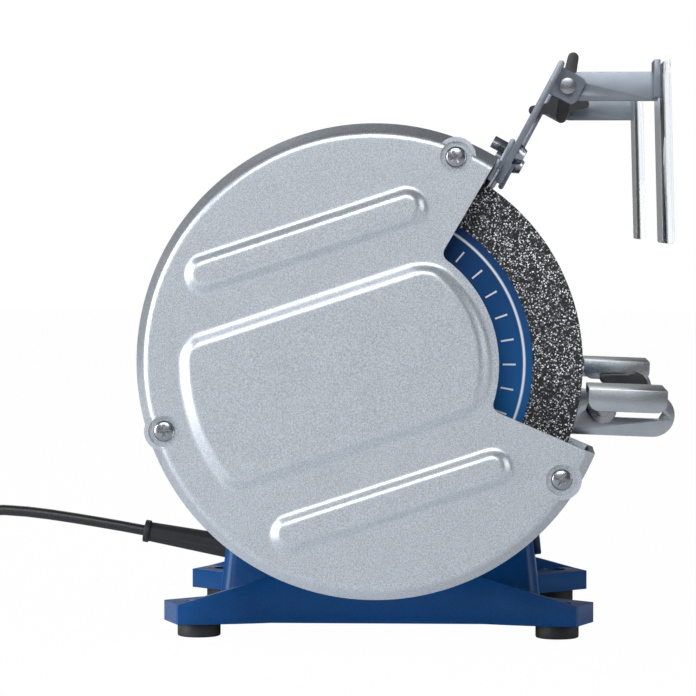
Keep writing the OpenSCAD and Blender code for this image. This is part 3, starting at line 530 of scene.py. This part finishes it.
def lathe(name: str, profile: Profile, steps: int) -> bpy.types.Object:
    """Turns a profile round the Z axis.

    Args:
        name: The object's name.
        profile: Points of radius and height in millimetres, from the axis back to the axis.
        steps: How many steps make the full turn.

    Returns:
        The turned solid, in metres.
    """
    points = [(r * MM, 0.0, z * MM) for r, z in profile]
    edges = [(i, i + 1) for i in range(len(points) - 1)]
    obj = new_mesh(name, points, edges)
    edit(
        obj,
        lambda: bpy.ops.mesh.spin(steps=steps, angle=FULL_TURN, center=(0, 0, 0), axis=(0, 0, 1)),
        lambda: bpy.ops.mesh.remove_doubles(threshold=1e-7),
        lambda: bpy.ops.mesh.normals_make_consistent(inside=False),
    )
    return obj


def prism(name: str, outline: Profile, low: float, high: float) -> bpy.types.Object:
    """Raises an outline along Z.

    Args:
        name: The object's name.
        outline: Corner points in millimetres.
        low: The bottom's height.
        high: The top's height.

    Returns:
        The closed solid, in metres.
    """
    rise = {"value": (0, 0, (high - low) * MM)}
    obj = new_mesh(name, [(x * MM, y * MM, low * MM) for x, y in outline], (), [range(len(outline))])
    edit(
        obj,
        lambda: bpy.ops.mesh.extrude_region_move(TRANSFORM_OT_translate=rise),
        lambda: bpy.ops.mesh.normals_make_consistent(inside=False),
    )
    return obj


def shape(obj: bpy.types.Object, tool: bpy.types.Object, how: Join = Join.REMOVE) -> None:
    """Shapes one solid with another and removes the tool.

    Args:
        obj: What is shaped.
        tool: The other solid.
        how: Whether the tool is added or removed.
    """
    apply_modifier(obj, "BOOLEAN", object=tool, operation=how.value, solver="MANIFOLD")
    bpy.data.objects.remove(tool, do_unlink=True)


def settle(obj: bpy.types.Object, matrix: Matrix) -> None:
    """Moves a mesh to its place, with its object at the origin.

    Args:
        obj: The object.
        matrix: Where its own frame lies in the shared frame.
    """
    only(obj)
    obj.matrix_world = matrix
    bpy.ops.object.transform_apply(location=True, rotation=True, scale=True)
    if matrix.determinant() < 0:
        edit(obj, lambda: bpy.ops.mesh.flip_normals())


def smooth(obj: bpy.types.Object, degrees: float) -> None:
    """Shades an object smooth, with its sharp edges kept.

    Args:
        obj: The object.
        degrees: Edges that turn more than this stay sharp.
    """
    only(obj)
    bpy.ops.object.shade_smooth_by_angle(angle=math.radians(degrees))


def spin_z(degrees: float) -> Matrix:
    """A turn round the Z axis, in degrees."""
    return Matrix.Rotation(math.radians(degrees), 4, "Z")


def outward(side: Side) -> Matrix:
    """The frame of one end: x points to the operator, y up from the shaft and z out from the middle."""
    return Matrix(((0, 0, side.value, 0), (-1, 0, 0, 0), (0, 1, 0, AXIS_Z * MM), (0, 0, 0, 1)))


class Workshop:
    """What every sub-assembly shares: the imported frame, the finishes and the way a piece is dressed."""

    bevel_steps: int = 2
    bevel_angle: float = 34.0
    smooth_angle: float = 35.0
    merge: float = 2e-6
    flat_angle: float = 0.5

    def __init__(self, frame: dict[str, Any]) -> None:
        """Keeps the frame and finds each node's body and slot.
        """
        self.frame = frame
        self.finishes = Finishes()
        record = frame["record"]
        self.bodies = {n: b for b, ns in record["behaviour"]["bodies"].items() for n in ns}
        self.slots = {s["node"]: s["material_slot"] for s in record["subparts"]}

    def dress(self, obj: bpy.types.Object, finish: Finish, *nodes: str) -> None:
        """Gives a new piece its finish, and puts it in place of its nodes.

        Args:
            obj: The new piece.
            finish: Its finish.
            *nodes: The nodes that it stands for. The first one gives the body.
        """
        obj.data.materials.clear()
        obj.data.materials.append(self.finishes.get(finish))
        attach(obj, self.bodies[nodes[0]])
        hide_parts(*nodes)
        log.info("%s: %d faces", obj.name, len(obj.data.polygons))

    def paint(self, finish: Finish, *nodes: str) -> None:
        """Gives solids that stay as they are a finish.

        Args:
            finish: The finish.
            *nodes: Their names.
        """
        for name in nodes:
            for slot in self.frame["nodes"][name].material_slots:
                slot.material = self.finishes.get(finish)
            log.info("%s: painted", name)

    def soften(self, name: str, finish: Finish, radius: float) -> None:
        """Copies a solid, rounds its edges and puts it in the solid's place.

        Args:
            name: The node.
            finish: Its finish.
            radius: The edges' radius in millimetres.
        """
        obj = bpy.data.objects.new("soft_" + name, self.frame["nodes"][name].data.copy())
        bpy.context.scene.collection.objects.link(obj)
        only(obj)
        bpy.ops.mesh.customdata_custom_splitnormals_clear()
        edit(
            obj,
            lambda: bpy.ops.mesh.remove_doubles(threshold=self.merge),
            lambda: bpy.ops.mesh.dissolve_limited(angle_limit=math.radians(self.flat_angle)),
        )
        if radius:
            apply_modifier(
                obj, "BEVEL", width=radius * MM, segments=self.bevel_steps, limit_method="ANGLE",
                angle_limit=math.radians(self.bevel_angle), use_clamp_overlap=True, harden_normals=False,
                miter_outer="MITER_ARC",
            )
        smooth(obj, self.smooth_angle)
        self.dress(obj, finish, name)


# ---- The guard covers ----


@dataclass
class GuardCover:
    """A pressed cover: a domed rim, a raised panel, two ribs, screw pockets and the cut for the wheel.

    Sizes are in millimetres and degrees, from the shaft's axis and from the middle of the machine.
    """

    shop: Workshop
    side: Side
    tilt: float = 18.2
    shift: float = 2.6
    rim_r: float = 111.5
    face_r: float = 104.3
    bend: float = 4.0
    bend_steps: int = 9
    outer: float = 199.0
    foot: float = 190.0
    sheet: float = 2.0
    emboss: float = 3.0
    straight: float = 0.45  # share of a pressed slope that is straight, the rest being an S
    panel_slope: float = 6.0
    rib_slope: float = 4.6
    panel_half: float = 38.6
    panel_left: float = 91.0
    panel_right: float = 57.5
    panel_corner: float = 9.0
    rib_start: float = -59.3
    rib_end: float = 39.8
    rib_y: float = 63.8
    rib_half: float = 9.5
    open_half: float = 41.5
    open_offset: float = 3.5
    open_r: float = 60.8
    open_corner: float = 4.0
    open_far: float = 200.0
    corner_steps: int = 8
    arc_steps: int = 32
    screw_ring: float = 103.0
    screw_angles: Sequence[float] = (50.0, -50.0, 180.0)
    pocket_r: float = 7.3
    pocket_depth: float = 3.0
    pocket_steps: int = 64
    post_r: float = 5.0
    hole_r: float = 2.55
    post_steps: int = 48
    over: float = 1.0  # how far a tool runs past what it cuts
    steps: int = 400
    ring_mm: float = 1.0
    smooth_angle: float = 28.0

    def frame(self, side: Side) -> Matrix:
        """The cover's own frame on one end of the machine."""
        return outward(side) @ spin_z(self.tilt)

    def screw_spot(self, angle: float) -> tuple[float, float]:
        """Where a screw stands, by its angle round the cover's middle."""
        a = math.radians(angle)
        return self.shift + self.screw_ring * math.cos(a), self.screw_ring * math.sin(a)

    def panel_gap(self, x: float, y: float) -> float:
        """How far a point lies outside the panel's foot line.

        Args:
            x: Towards the opening.
            y: Across.

        Returns:
            The distance, less than zero inside the line.
        """
        soft = self.panel_corner
        if x > 0:
            end = math.hypot(x, y) - self.panel_right
        else:
            end = math.hypot(x - self.shift, y) - self.panel_left
        a, b = abs(y) - self.panel_half + soft, end + soft
        return math.hypot(max(a, 0.0), max(b, 0.0)) + min(max(a, b), 0.0) - soft

    def rib_gap(self, x: float, y: float) -> float:
        """How far a point lies outside the nearer rib's foot line."""
        near = min(max(x, self.rib_start), self.rib_end)
        return math.hypot(x - near, abs(y) - self.rib_y) - self.rib_half

    def raised(self, x: float, y: float) -> float:
        """The pressed height above the flat face, with soft feet and crowns.

        Args:
            x: Towards the opening.
            y: Across.

        Returns:
            The height.
        """
        inside = max(-self.panel_gap(x, y) / self.panel_slope, -self.rib_gap(x, y) / self.rib_slope)
        t = min(max(inside, 0.0), 1.0)
        return self.emboss * (self.straight * t + (1 - self.straight) * t * t * (3 - 2 * t))

    def rim(self, drop: float) -> list[tuple[float, float]]:
        """The profile from the face's edge round the bend to the foot.

        Args:
            drop: How far inside the outer skin the line runs.

        Returns:
            Radii and heights.
        """
        middle = (self.face_r, self.outer - self.bend)
        reach = (self.rim_r - middle[0], self.foot - middle[1])
        end = math.atan2(reach[1], reach[0]) + math.acos(self.bend / math.hypot(*reach))
        radius = self.bend - drop
        bow = []
        for i in range(self.bend_steps + 1):
            a = math.pi / 2 + (end - math.pi / 2) * i / self.bend_steps
            bow.append((middle[0] + radius * math.cos(a), middle[1] + radius * math.sin(a)))
        last = bow[-1]
        return bow + [(last[0] + (last[1] - self.foot) * math.tan(end), self.foot)]

    def skin(self, drop: float) -> list[list[Point]]:
        """Rings of points over one skin, from the middle to the foot.

        Args:
            drop: How far inside the outer skin this one lies.

        Returns:
            The rings, each with the same number of points.
        """
        count = int(self.face_r / self.ring_mm)
        flat = [(self.face_r * i / count, self.outer - drop, True) for i in range(1, count)]
        out = []
        for r, z, pressed in flat + [(r, z, False) for r, z in self.rim(drop)]:
            ring = []
            for k in range(self.steps):
                a = FULL_TURN * k / self.steps
                x, y = self.shift + r * math.cos(a), r * math.sin(a)
                ring.append((x, y, z + (self.raised(x, y) if pressed else 0.0)))
            out.append(ring)
        return out

    def shell(self) -> bpy.types.Object:
        """Makes the closed sheet before it is cut.

        Returns:
            Its object, in the cover's own frame.
        """
        n = self.steps
        points: list[Point] = []
        faces: list[tuple[int, ...]] = []
        edges = []
        for drop in (0.0, self.sheet):
            rings = self.skin(drop)
            base = len(points)
            first, last = base + 1, base + 1 + (len(rings) - 1) * n
            points.append((self.shift, 0.0, self.outer - drop + self.raised(self.shift, 0.0)))
            points += [p for ring in rings for p in ring]
            fan = [(base, first + k, first + (k + 1) % n) for k in range(n)]
            bands = [
                (a + k, a + n + k, a + n + (k + 1) % n, a + (k + 1) % n)
                for a in range(first, last, n)
                for k in range(n)
            ]
            faces += [face[::-1] if drop else face for face in fan + bands]
            edges.append(last)
        top, low = edges
        faces += [(top + k, low + k, low + (k + 1) % n, top + (k + 1) % n) for k in range(n)]
        metres = [[v * MM for v in p] for p in points]
        obj = new_mesh("guard_cover_skin_" + self.side.tag, metres, (), faces)
        edit(obj, lambda: bpy.ops.mesh.normals_make_consistent(inside=False))
        return obj

    def opening(self) -> list[tuple[float, float]]:
        """Draws the outline of the cut for the wheel.

        Returns:
            Its corner points, with the same rounded corner above and below.
        """
        half = math.radians(self.open_half)
        e = (math.cos(half), math.sin(half))
        m = (e[1], -e[0])
        aside = self.open_offset + self.open_corner
        along = math.sqrt((self.open_r + self.open_corner) ** 2 - aside**2)
        c = [e[i] * along + m[i] * aside for i in range(2)]
        turn = math.atan2(c[1], c[0])
        upper = [(self.open_offset / e[1] + self.open_far * e[0], self.open_far * e[1])]
        for i in range(self.corner_steps + 1):
            a = math.pi / 2 + half + (math.pi / 2 + turn - half) * i / self.corner_steps
            upper.append((c[0] + self.open_corner * math.cos(a), c[1] + self.open_corner * math.sin(a)))
        inner = []
        for i in range(1, self.arc_steps):
            a = turn * (1 - 2 * i / self.arc_steps)
            inner.append((self.open_r * math.cos(a), self.open_r * math.sin(a)))
        return upper + inner + [(x, -y) for x, y in reversed(upper)]

    def press_pocket(self, obj: bpy.types.Object, angle: float) -> None:
        """Sinks one screw pocket into the sheet, with a drilled post under it.

        Args:
            obj: The cover.
            angle: Where the pocket is, round the cover's middle.
        """
        x, y = self.screw_spot(angle)
        floor = self.outer - self.pocket_depth
        half = self.sheet / 2
        wide, narrow, over = self.pocket_steps, self.post_steps, self.over
        tools = (
            ("pocket_cup", self.pocket_r + self.sheet, floor - self.sheet, self.outer - half, wide, Join.ADD),
            ("pocket_post", self.post_r, self.foot, floor - half, narrow, Join.ADD),
            ("pocket_hole", self.pocket_r, floor, self.outer + over, wide, Join.REMOVE),
            ("post_bore", self.hole_r, self.foot - over, floor + over, narrow, Join.REMOVE),
        )
        for name, radius, low, high, steps, how in tools:
            tool = lathe(name, [(0, low), (radius, low), (radius, high), (0, high)], steps)
            settle(tool, Matrix.Translation((x * MM, y * MM, 0)))
            shape(obj, tool, how)

    def build(self) -> None:
        """Makes the cover and puts it in its node's place."""
        obj = self.shell()
        for angle in self.screw_angles:
            self.press_pocket(obj, angle)
        low, high = self.foot - 2 * self.over, self.outer + self.emboss + 2 * self.over
        shape(obj, prism("opening_cut", self.opening(), low, high))
        settle(obj, self.frame(self.side))
        smooth(obj, self.smooth_angle)
        self.shop.dress(obj, GUARD_LACQUER, "guard_cover_" + self.side.tag)


@dataclass
class CoverScrews:
    """The six pan-head screws with cross recesses that hold the covers."""

    shop: Workshop
    head_r: float = 4.9
    head_h: float = 2.6
    edge_h: float = 1.1
    edge_chamfer: float = 0.2
    crown_steps: int = 10
    shank_r: float = 2.4
    shank_foot: float = 184.5
    floor: float = 196.0
    slot_half: float = 0.62
    slot_reach: float = 2.9
    slot_depth: float = 1.7
    over: float = 1.0
    edge_r: float = 0.12
    edge_angle: float = 50.0
    smooth_angle: float = 30.0
    steps: int = 48
    turns: Sequence[float] = (12.0, 47.0, 71.0)

    def dome(self) -> list[tuple[float, float]]:
        """Draws half a section of the screw.

        Returns:
            Radii and heights, from its foot to the middle of its head.
        """
        top = self.floor + self.head_h
        edge = self.floor + self.edge_h
        crown = []
        for i in range(self.crown_steps):
            a = math.pi / 2 * i / self.crown_steps
            crown.append((self.head_r * math.cos(a), edge + (top - edge) * math.sin(a)))
        shank = [(0, self.shank_foot), (self.shank_r, self.shank_foot), (self.shank_r, self.floor)]
        bevel = self.edge_chamfer
        under = [(self.head_r - bevel, self.floor), (self.head_r, self.floor + bevel)]
        return shank + under + crown + [(0, top)]

    def screw(self, turn: float) -> bpy.types.Object:
        """Makes one screw on the Z axis.

        Args:
            turn: How far its recess is turned, in degrees.

        Returns:
            The screw.
        """
        obj = lathe("pan_screw", self.dome(), self.steps)
        top = self.floor + self.head_h
        reach, half = self.slot_reach, self.slot_half
        outline = [(-reach, -half), (reach, -half), (reach, half), (-reach, half)]
        for extra in (0.0, 90.0):
            tool = prism("recess", outline, top - self.slot_depth, top + self.over)
            settle(tool, spin_z(turn + extra))
            shape(obj, tool)
        apply_modifier(
            obj, "BEVEL", width=self.edge_r * MM, segments=2, limit_method="ANGLE",
            angle_limit=math.radians(self.edge_angle),
        )
        return obj

    def build(self, cover: GuardCover) -> None:
        """Sets three screws into each cover.

        Args:
            cover: Any cover, for the places of its pockets.
        """
        made = []
        for side in Side:
            for angle, turn in zip(cover.screw_angles, self.turns):
                obj = self.screw(turn)
                x, y = cover.screw_spot(angle)
                settle(obj, cover.frame(side) @ Matrix.Translation((x * MM, y * MM, 0)))
                made.append(obj)
        only(made[0])
        for obj in made[1:]:
            obj.select_set(True)
        bpy.ops.object.join()
        made[0].name = "cover_screw_set"
        smooth(made[0], self.smooth_angle)
        self.shop.dress(made[0], BRIGHT_STEEL, "cover_screws")


# ---- The studio ----


@dataclass
class Studio:
    """Camera, floor, surround and lamps, in metres and watts."""

    eye: Point = (-1.790, -0.0663, 0.2083)
    target: Point = (0.0, 0.0188, 0.1410)
    lens: float = 177.4
    sensor: float = 36.0
    reach: float = 20.0
    floor_size: float = 12.0
    floor_color: str = "#EDEEF0"
    floor_roughness: float = 0.8
    floor_glow: float = 0.985  # leaves a little of the shadow in view
    surround: float = 0.14
    # Name, place, what it points at, width and height, power
    lamps: Sequence[tuple[str, Point, Point, tuple[float, float], float]] = (
        ("key", (-1.9, 0.2, 1.45), (0, 0, 0.22), (1.6, 0.9), 29),
        ("card", (-3.0, 0.1, 1.0), (0, 0, 0.3), (1.6, 1.1), 4),
        ("left", (-0.8, 1.7, 0.45), (0, 0, 0.15), (0.9, 1.2), 46),
        ("right", (-0.5, -1.7, 0.6), (0, 0, 0.15), (0.7, 1.1), 9),
        ("back", (1.5, 0.3, 1.1), (0, 0, 0.15), (1.0, 0.8), 7),
    )

    def stand(self, name: str, data: bpy.types.ID, place: Point, aim: Point) -> bpy.types.Object:
        """Places a camera or a lamp and turns it to what it points at.

        Args:
            name: Its name.
            data: Its camera or light.
            place: Where it is.
            aim: What it points at.

        Returns:
            Its object.
        """
        obj = bpy.data.objects.new(name, data)
        bpy.context.scene.collection.objects.link(obj)
        obj.location = place
        obj.rotation_euler = (Vector(aim) - Vector(place)).to_track_quat("-Z", "Y").to_euler()
        return obj

    def camera(self) -> None:
        """Places the camera at the machine's left end."""
        data = bpy.data.cameras.new("camera")
        data.lens = self.lens
        data.sensor_width = self.sensor
        data.clip_end = self.reach
        bpy.context.scene.camera = self.stand("camera", data, self.eye, self.target)

    def seen(self, tree: bpy.types.NodeTree) -> bpy.types.NodeSocket:
        """Finds the rays that show the surround white.

        Args:
            tree: The tree that gets the nodes.

        Returns:
            One for a ray from the camera or through a clear sheet, and nought for others.
        """
        path = node(tree, "LightPath")
        camera, clear = path.outputs["Is Camera Ray"], path.outputs["Is Transmission Ray"]
        return node(tree, "Math", {"operation": "MAXIMUM"}, i0=camera, i1=clear).outputs[0]

    def floor(self) -> None:
        """Adds a pale floor that keeps the shadow and looks white to the camera."""
        bpy.ops.object.select_all(action="DESELECT")
        bpy.ops.mesh.primitive_plane_add(size=self.floor_size, location=(0, 0, 0))
        obj = bpy.context.active_object
        obj.name = "floor"
        made = bpy.data.materials.new("pale_floor")
        made.use_nodes = True
        tree = made.node_tree
        shader = tree.nodes["Principled BSDF"]
        shader.inputs["Base Color"].default_value = srgb(self.floor_color)
        shader.inputs["Roughness"].default_value = self.floor_roughness
        share = node(tree, "Math", {"operation": "MULTIPLY"}, i0=self.seen(tree), i1=self.floor_glow)
        glow = node(tree, "Emission", Color=(1, 1, 1, 1), Strength=1.0)
        mixed = node(tree, "MixShader", i0=share.outputs[0], i1=shader.outputs[0], i2=glow.outputs[0])
        tree.links.new(mixed.outputs[0], tree.nodes["Material Output"].inputs["Surface"])
        obj.data.materials.append(made)

    def world(self) -> None:
        """Sets a white surround for the camera and a plain grey light for the object."""
        made = bpy.data.worlds.new("studio")
        bpy.context.scene.world = made
        made.use_nodes = True
        tree = made.node_tree
        back = tree.nodes["Background"]
        level = node(tree, "MapRange", Value=self.seen(tree), i3=self.surround, i4=1.0)
        back.inputs["Color"].default_value = (1, 1, 1, 1)
        tree.links.new(level.outputs[0], back.inputs["Strength"])

    def build(self) -> None:
        """Sets up everything but the object."""
        bpy.context.scene.view_settings.view_transform = "Standard"
        self.camera()
        self.floor()
        self.world()
        for name, place, aim, size, power in self.lamps:
            data = bpy.data.lights.new(name, "AREA")
            data.shape = "RECTANGLE"
            data.size, data.size_y = size
            data.energy = power
            self.stand(name, data, place, aim)
        log.info("studio: %d lamps", len(self.lamps))


# ---- The mains lead ----


@dataclass
class MainsLead:
    """The cord from its sleeve to the plug, with what is put away wound into a coil. In millimetres."""

    shop: Workshop
    diameter: float = 5.6
    route: Profile = (
        (126, 45), (138, 47.2), (150, 49.2), (163, 51.3), (176, 53.2), (188, 54.6), (200, 55.4),
        (211, 55), (221, 53), (230, 49.4), (238, 44.4), (245, 38.2), (251, 31.4), (257, 24.6),
        (264, 18), (272, 12.2), (281, 7.6), (291, 4.6), (302, 3), (314, 2.8),
    )
    tail: Profile = (
        (45, 14.2), (52, 14.8), (58, 15.6), (64, 16.6), (70, 17.4), (77, 17.9),
    )
    tail_y: float = 352.0
    tail_z: float = 14.0
    coil_x: float = 37.6
    coil_y: float = 320.0
    turn_r: float = 32.0
    turns: float = 8.25
    turn_steps: int = 20
    cross_from: float = 0.72  # share of a turn after which the cord crosses to its next place
    # Each turn's place in the coil's section, in cords inwards and up
    places: Sequence[tuple[int, int]] = (
        (0, 0), (-1, 0), (1, 0), (-1, 1), (0, 1), (1, 1), (1, 2), (0, 2), (-1, 2),
    )

    def coil(self) -> list[Point]:
        """Winds the coil.

        Returns:
            Points from the arriving cord to the tail.
        """
        d = self.diameter
        last = len(self.places) - 1
        points = []
        for i in range(1, int(self.turns * self.turn_steps)):
            turn, part = divmod(i / self.turn_steps, 1.0)
            here, after = self.places[min(int(turn), last)], self.places[min(int(turn) + 1, last)]
            t = max(0.0, (part - self.cross_from) / (1 - self.cross_from))
            t = t * t * (3 - 2 * t)
            inwards, up = (here[k] + (after[k] - here[k]) * t for k in range(2))
            radius = self.turn_r - inwards * d
            a = math.pi - FULL_TURN * i / self.turn_steps
            x, y = self.coil_x + radius * math.cos(a), self.coil_y + radius * math.sin(a)
            points.append((x, y, d / 2 + up * d))
        return points

    def centreline(self) -> list[Point]:
        """Joins the free cord, the coil and the tail.

        Returns:
            Points from the sleeve to the plug.
        """
        lead = [(0.0, y, z) for y, z in self.route]
        end = [(x, self.tail_y, z) for x, z in [(self.coil_x, self.tail_z), *self.tail]]
        return lead + self.coil() + end

    def build(self) -> None:
        """Makes the cord as one smooth curve."""
        points = self.centreline()
        curve = bpy.data.curves.new("mains_cord", "CURVE")
        curve.dimensions = "3D"
        curve.bevel_depth = self.diameter / 2 * MM
        curve.bevel_resolution = 5
        curve.use_fill_caps = True
        spline = curve.splines.new("POLY")
        spline.points.add(len(points) - 1)
        for spot, p in zip(spline.points, points):
            spot.co = (p[0] * MM, p[1] * MM, p[2] * MM, 1.0)
        obj = bpy.data.objects.new("mains_cord", curve)
        bpy.context.scene.collection.objects.link(obj)
        curve.materials.append(self.shop.finishes.get(CORD_VINYL))
        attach(obj, "frame")
        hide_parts("cord", "cord_tail", "cord_coil")


# ---- Sub-assemblies whose solids already have the right form ----


@dataclass
class Fittings:
    """A sub-assembly of solids that only need their edges rounded, or nothing but their finish.

    A name that ends in a star stands for the left piece and the right one.
    """

    shop: Workshop
    rounded: Rounded = ()
    plain: Plain = ()

    def names(self, name: str) -> list[str]:
        """The nodes that a name stands for."""
        return [name.replace("*", side.tag) for side in Side] if "*" in name else [name]

    def build(self) -> None:
        """Dresses every piece."""
        for name, finish, radius in self.rounded:
            for each in self.names(name):
                self.shop.soften(each, finish, radius)
        for name, finish in self.plain:
            self.shop.paint(finish, name)


@dataclass
class Pedestal(Fittings):
    """The cast pedestal with its cover and its feet."""

    rounded: Rounded = (
        ("base_casting", CAST_ENAMEL, 1.0), ("base_cover", BLACK_NYLON, 0.6),
        ("rubber_feet", BLACK_RUBBER, 0.8),
    )


@dataclass
class Motor(Fittings):
    """The housing between its end shields, and what turns and stands inside it."""

    rounded: Rounded = (
        ("motor_housing", CAST_ENAMEL, 0.5), ("end_shield_*", CAST_ENAMEL, 1.0),
    )
    plain: Plain = (
        ("through_bolts", BRIGHT_STEEL), ("motor_shaft", BRIGHT_STEEL), ("bearings", BRIGHT_STEEL),
        ("stator_core", LAMINATIONS), ("rotor_core", LAMINATIONS), ("stator_windings", COPPER),
        ("capacitor", BLACK_NYLON),
    )


@dataclass
class SwitchAndLead(Fittings):
    """The push-button switch, and the moulded ends of the mains lead."""

    rounded: Rounded = (
        ("switch_bezel", BEZEL_PLASTIC, 0.8), ("start_button", GREEN_BUTTON, 0.6),
        ("stop_button", RED_BUTTON, 0.6), ("cord_sleeve", BLACK_RUBBER, 0.4), ("plug", BLACK_NYLON, 0.8),
    )
    plain: Plain = (("switch_body", BLACK_NYLON),)


@dataclass
class Wheels(Fittings):
    """The inner guards, and the wheels with their labels, flanges and nuts."""

    rounded: Rounded = (
        ("inner_guard_*", GUARD_LACQUER, 0.5), ("guard_screws", BRIGHT_STEEL, 0.4),
        ("grinding_wheel_*", ABRASIVE, 0.6), ("wheel_labels", WHEEL_LABEL, 0.0),
        ("wheel_flanges", ZINC_PLATE, 0.5), ("spindle_nuts", BRIGHT_STEEL, 0.5),
    )


@dataclass
class ToolRests(Fittings):
    """The slotted arms, and the rests that slide along them."""

    rounded: Rounded = (
        ("rest_arm_*", ZINC_PLATE, 0.4), ("rest_table_*", ZINC_PLATE, 0.4),
        ("rest_clamp_*", BRIGHT_STEEL, 0.3), ("rest_knob_*", BLACK_NYLON, 0.8),
    )


@dataclass
class EyeShields(Fittings):
    """The spark arrestors, and the clear shields on their tilting arms."""

    rounded: Rounded = (
        ("spark_arrestor_*", DULL_ZINC, 0.3), ("arrestor_screws", BRIGHT_STEEL, 0.3),
        ("shield_bar_*", DULL_ZINC, 0.4), ("shield_bolts_*", BRIGHT_STEEL, 0.3),
        ("shield_arm_*", DULL_ZINC, 0.4), ("eye_shield_*", CLEAR_SHEET, 0.5),
        ("shield_knob_*", BLACK_NYLON, 0.6),
    )


def main() -> None:
    """Builds the scene in order."""
    logging.basicConfig(level=logging.INFO, format="%(name)s: %(message)s")
    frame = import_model()
    shop = Workshop(frame)
    Studio().build()
    MainsLead(shop).build()
    for side in Side:
        GuardCover(shop, side).build()
    CoverScrews(shop).build(GuardCover(shop, Side.LEFT))
    for group in (Pedestal, Motor, SwitchAndLead, Wheels, ToolRests, EyeShields):
        group(shop).build()


if __name__ == "__main__":
    main()
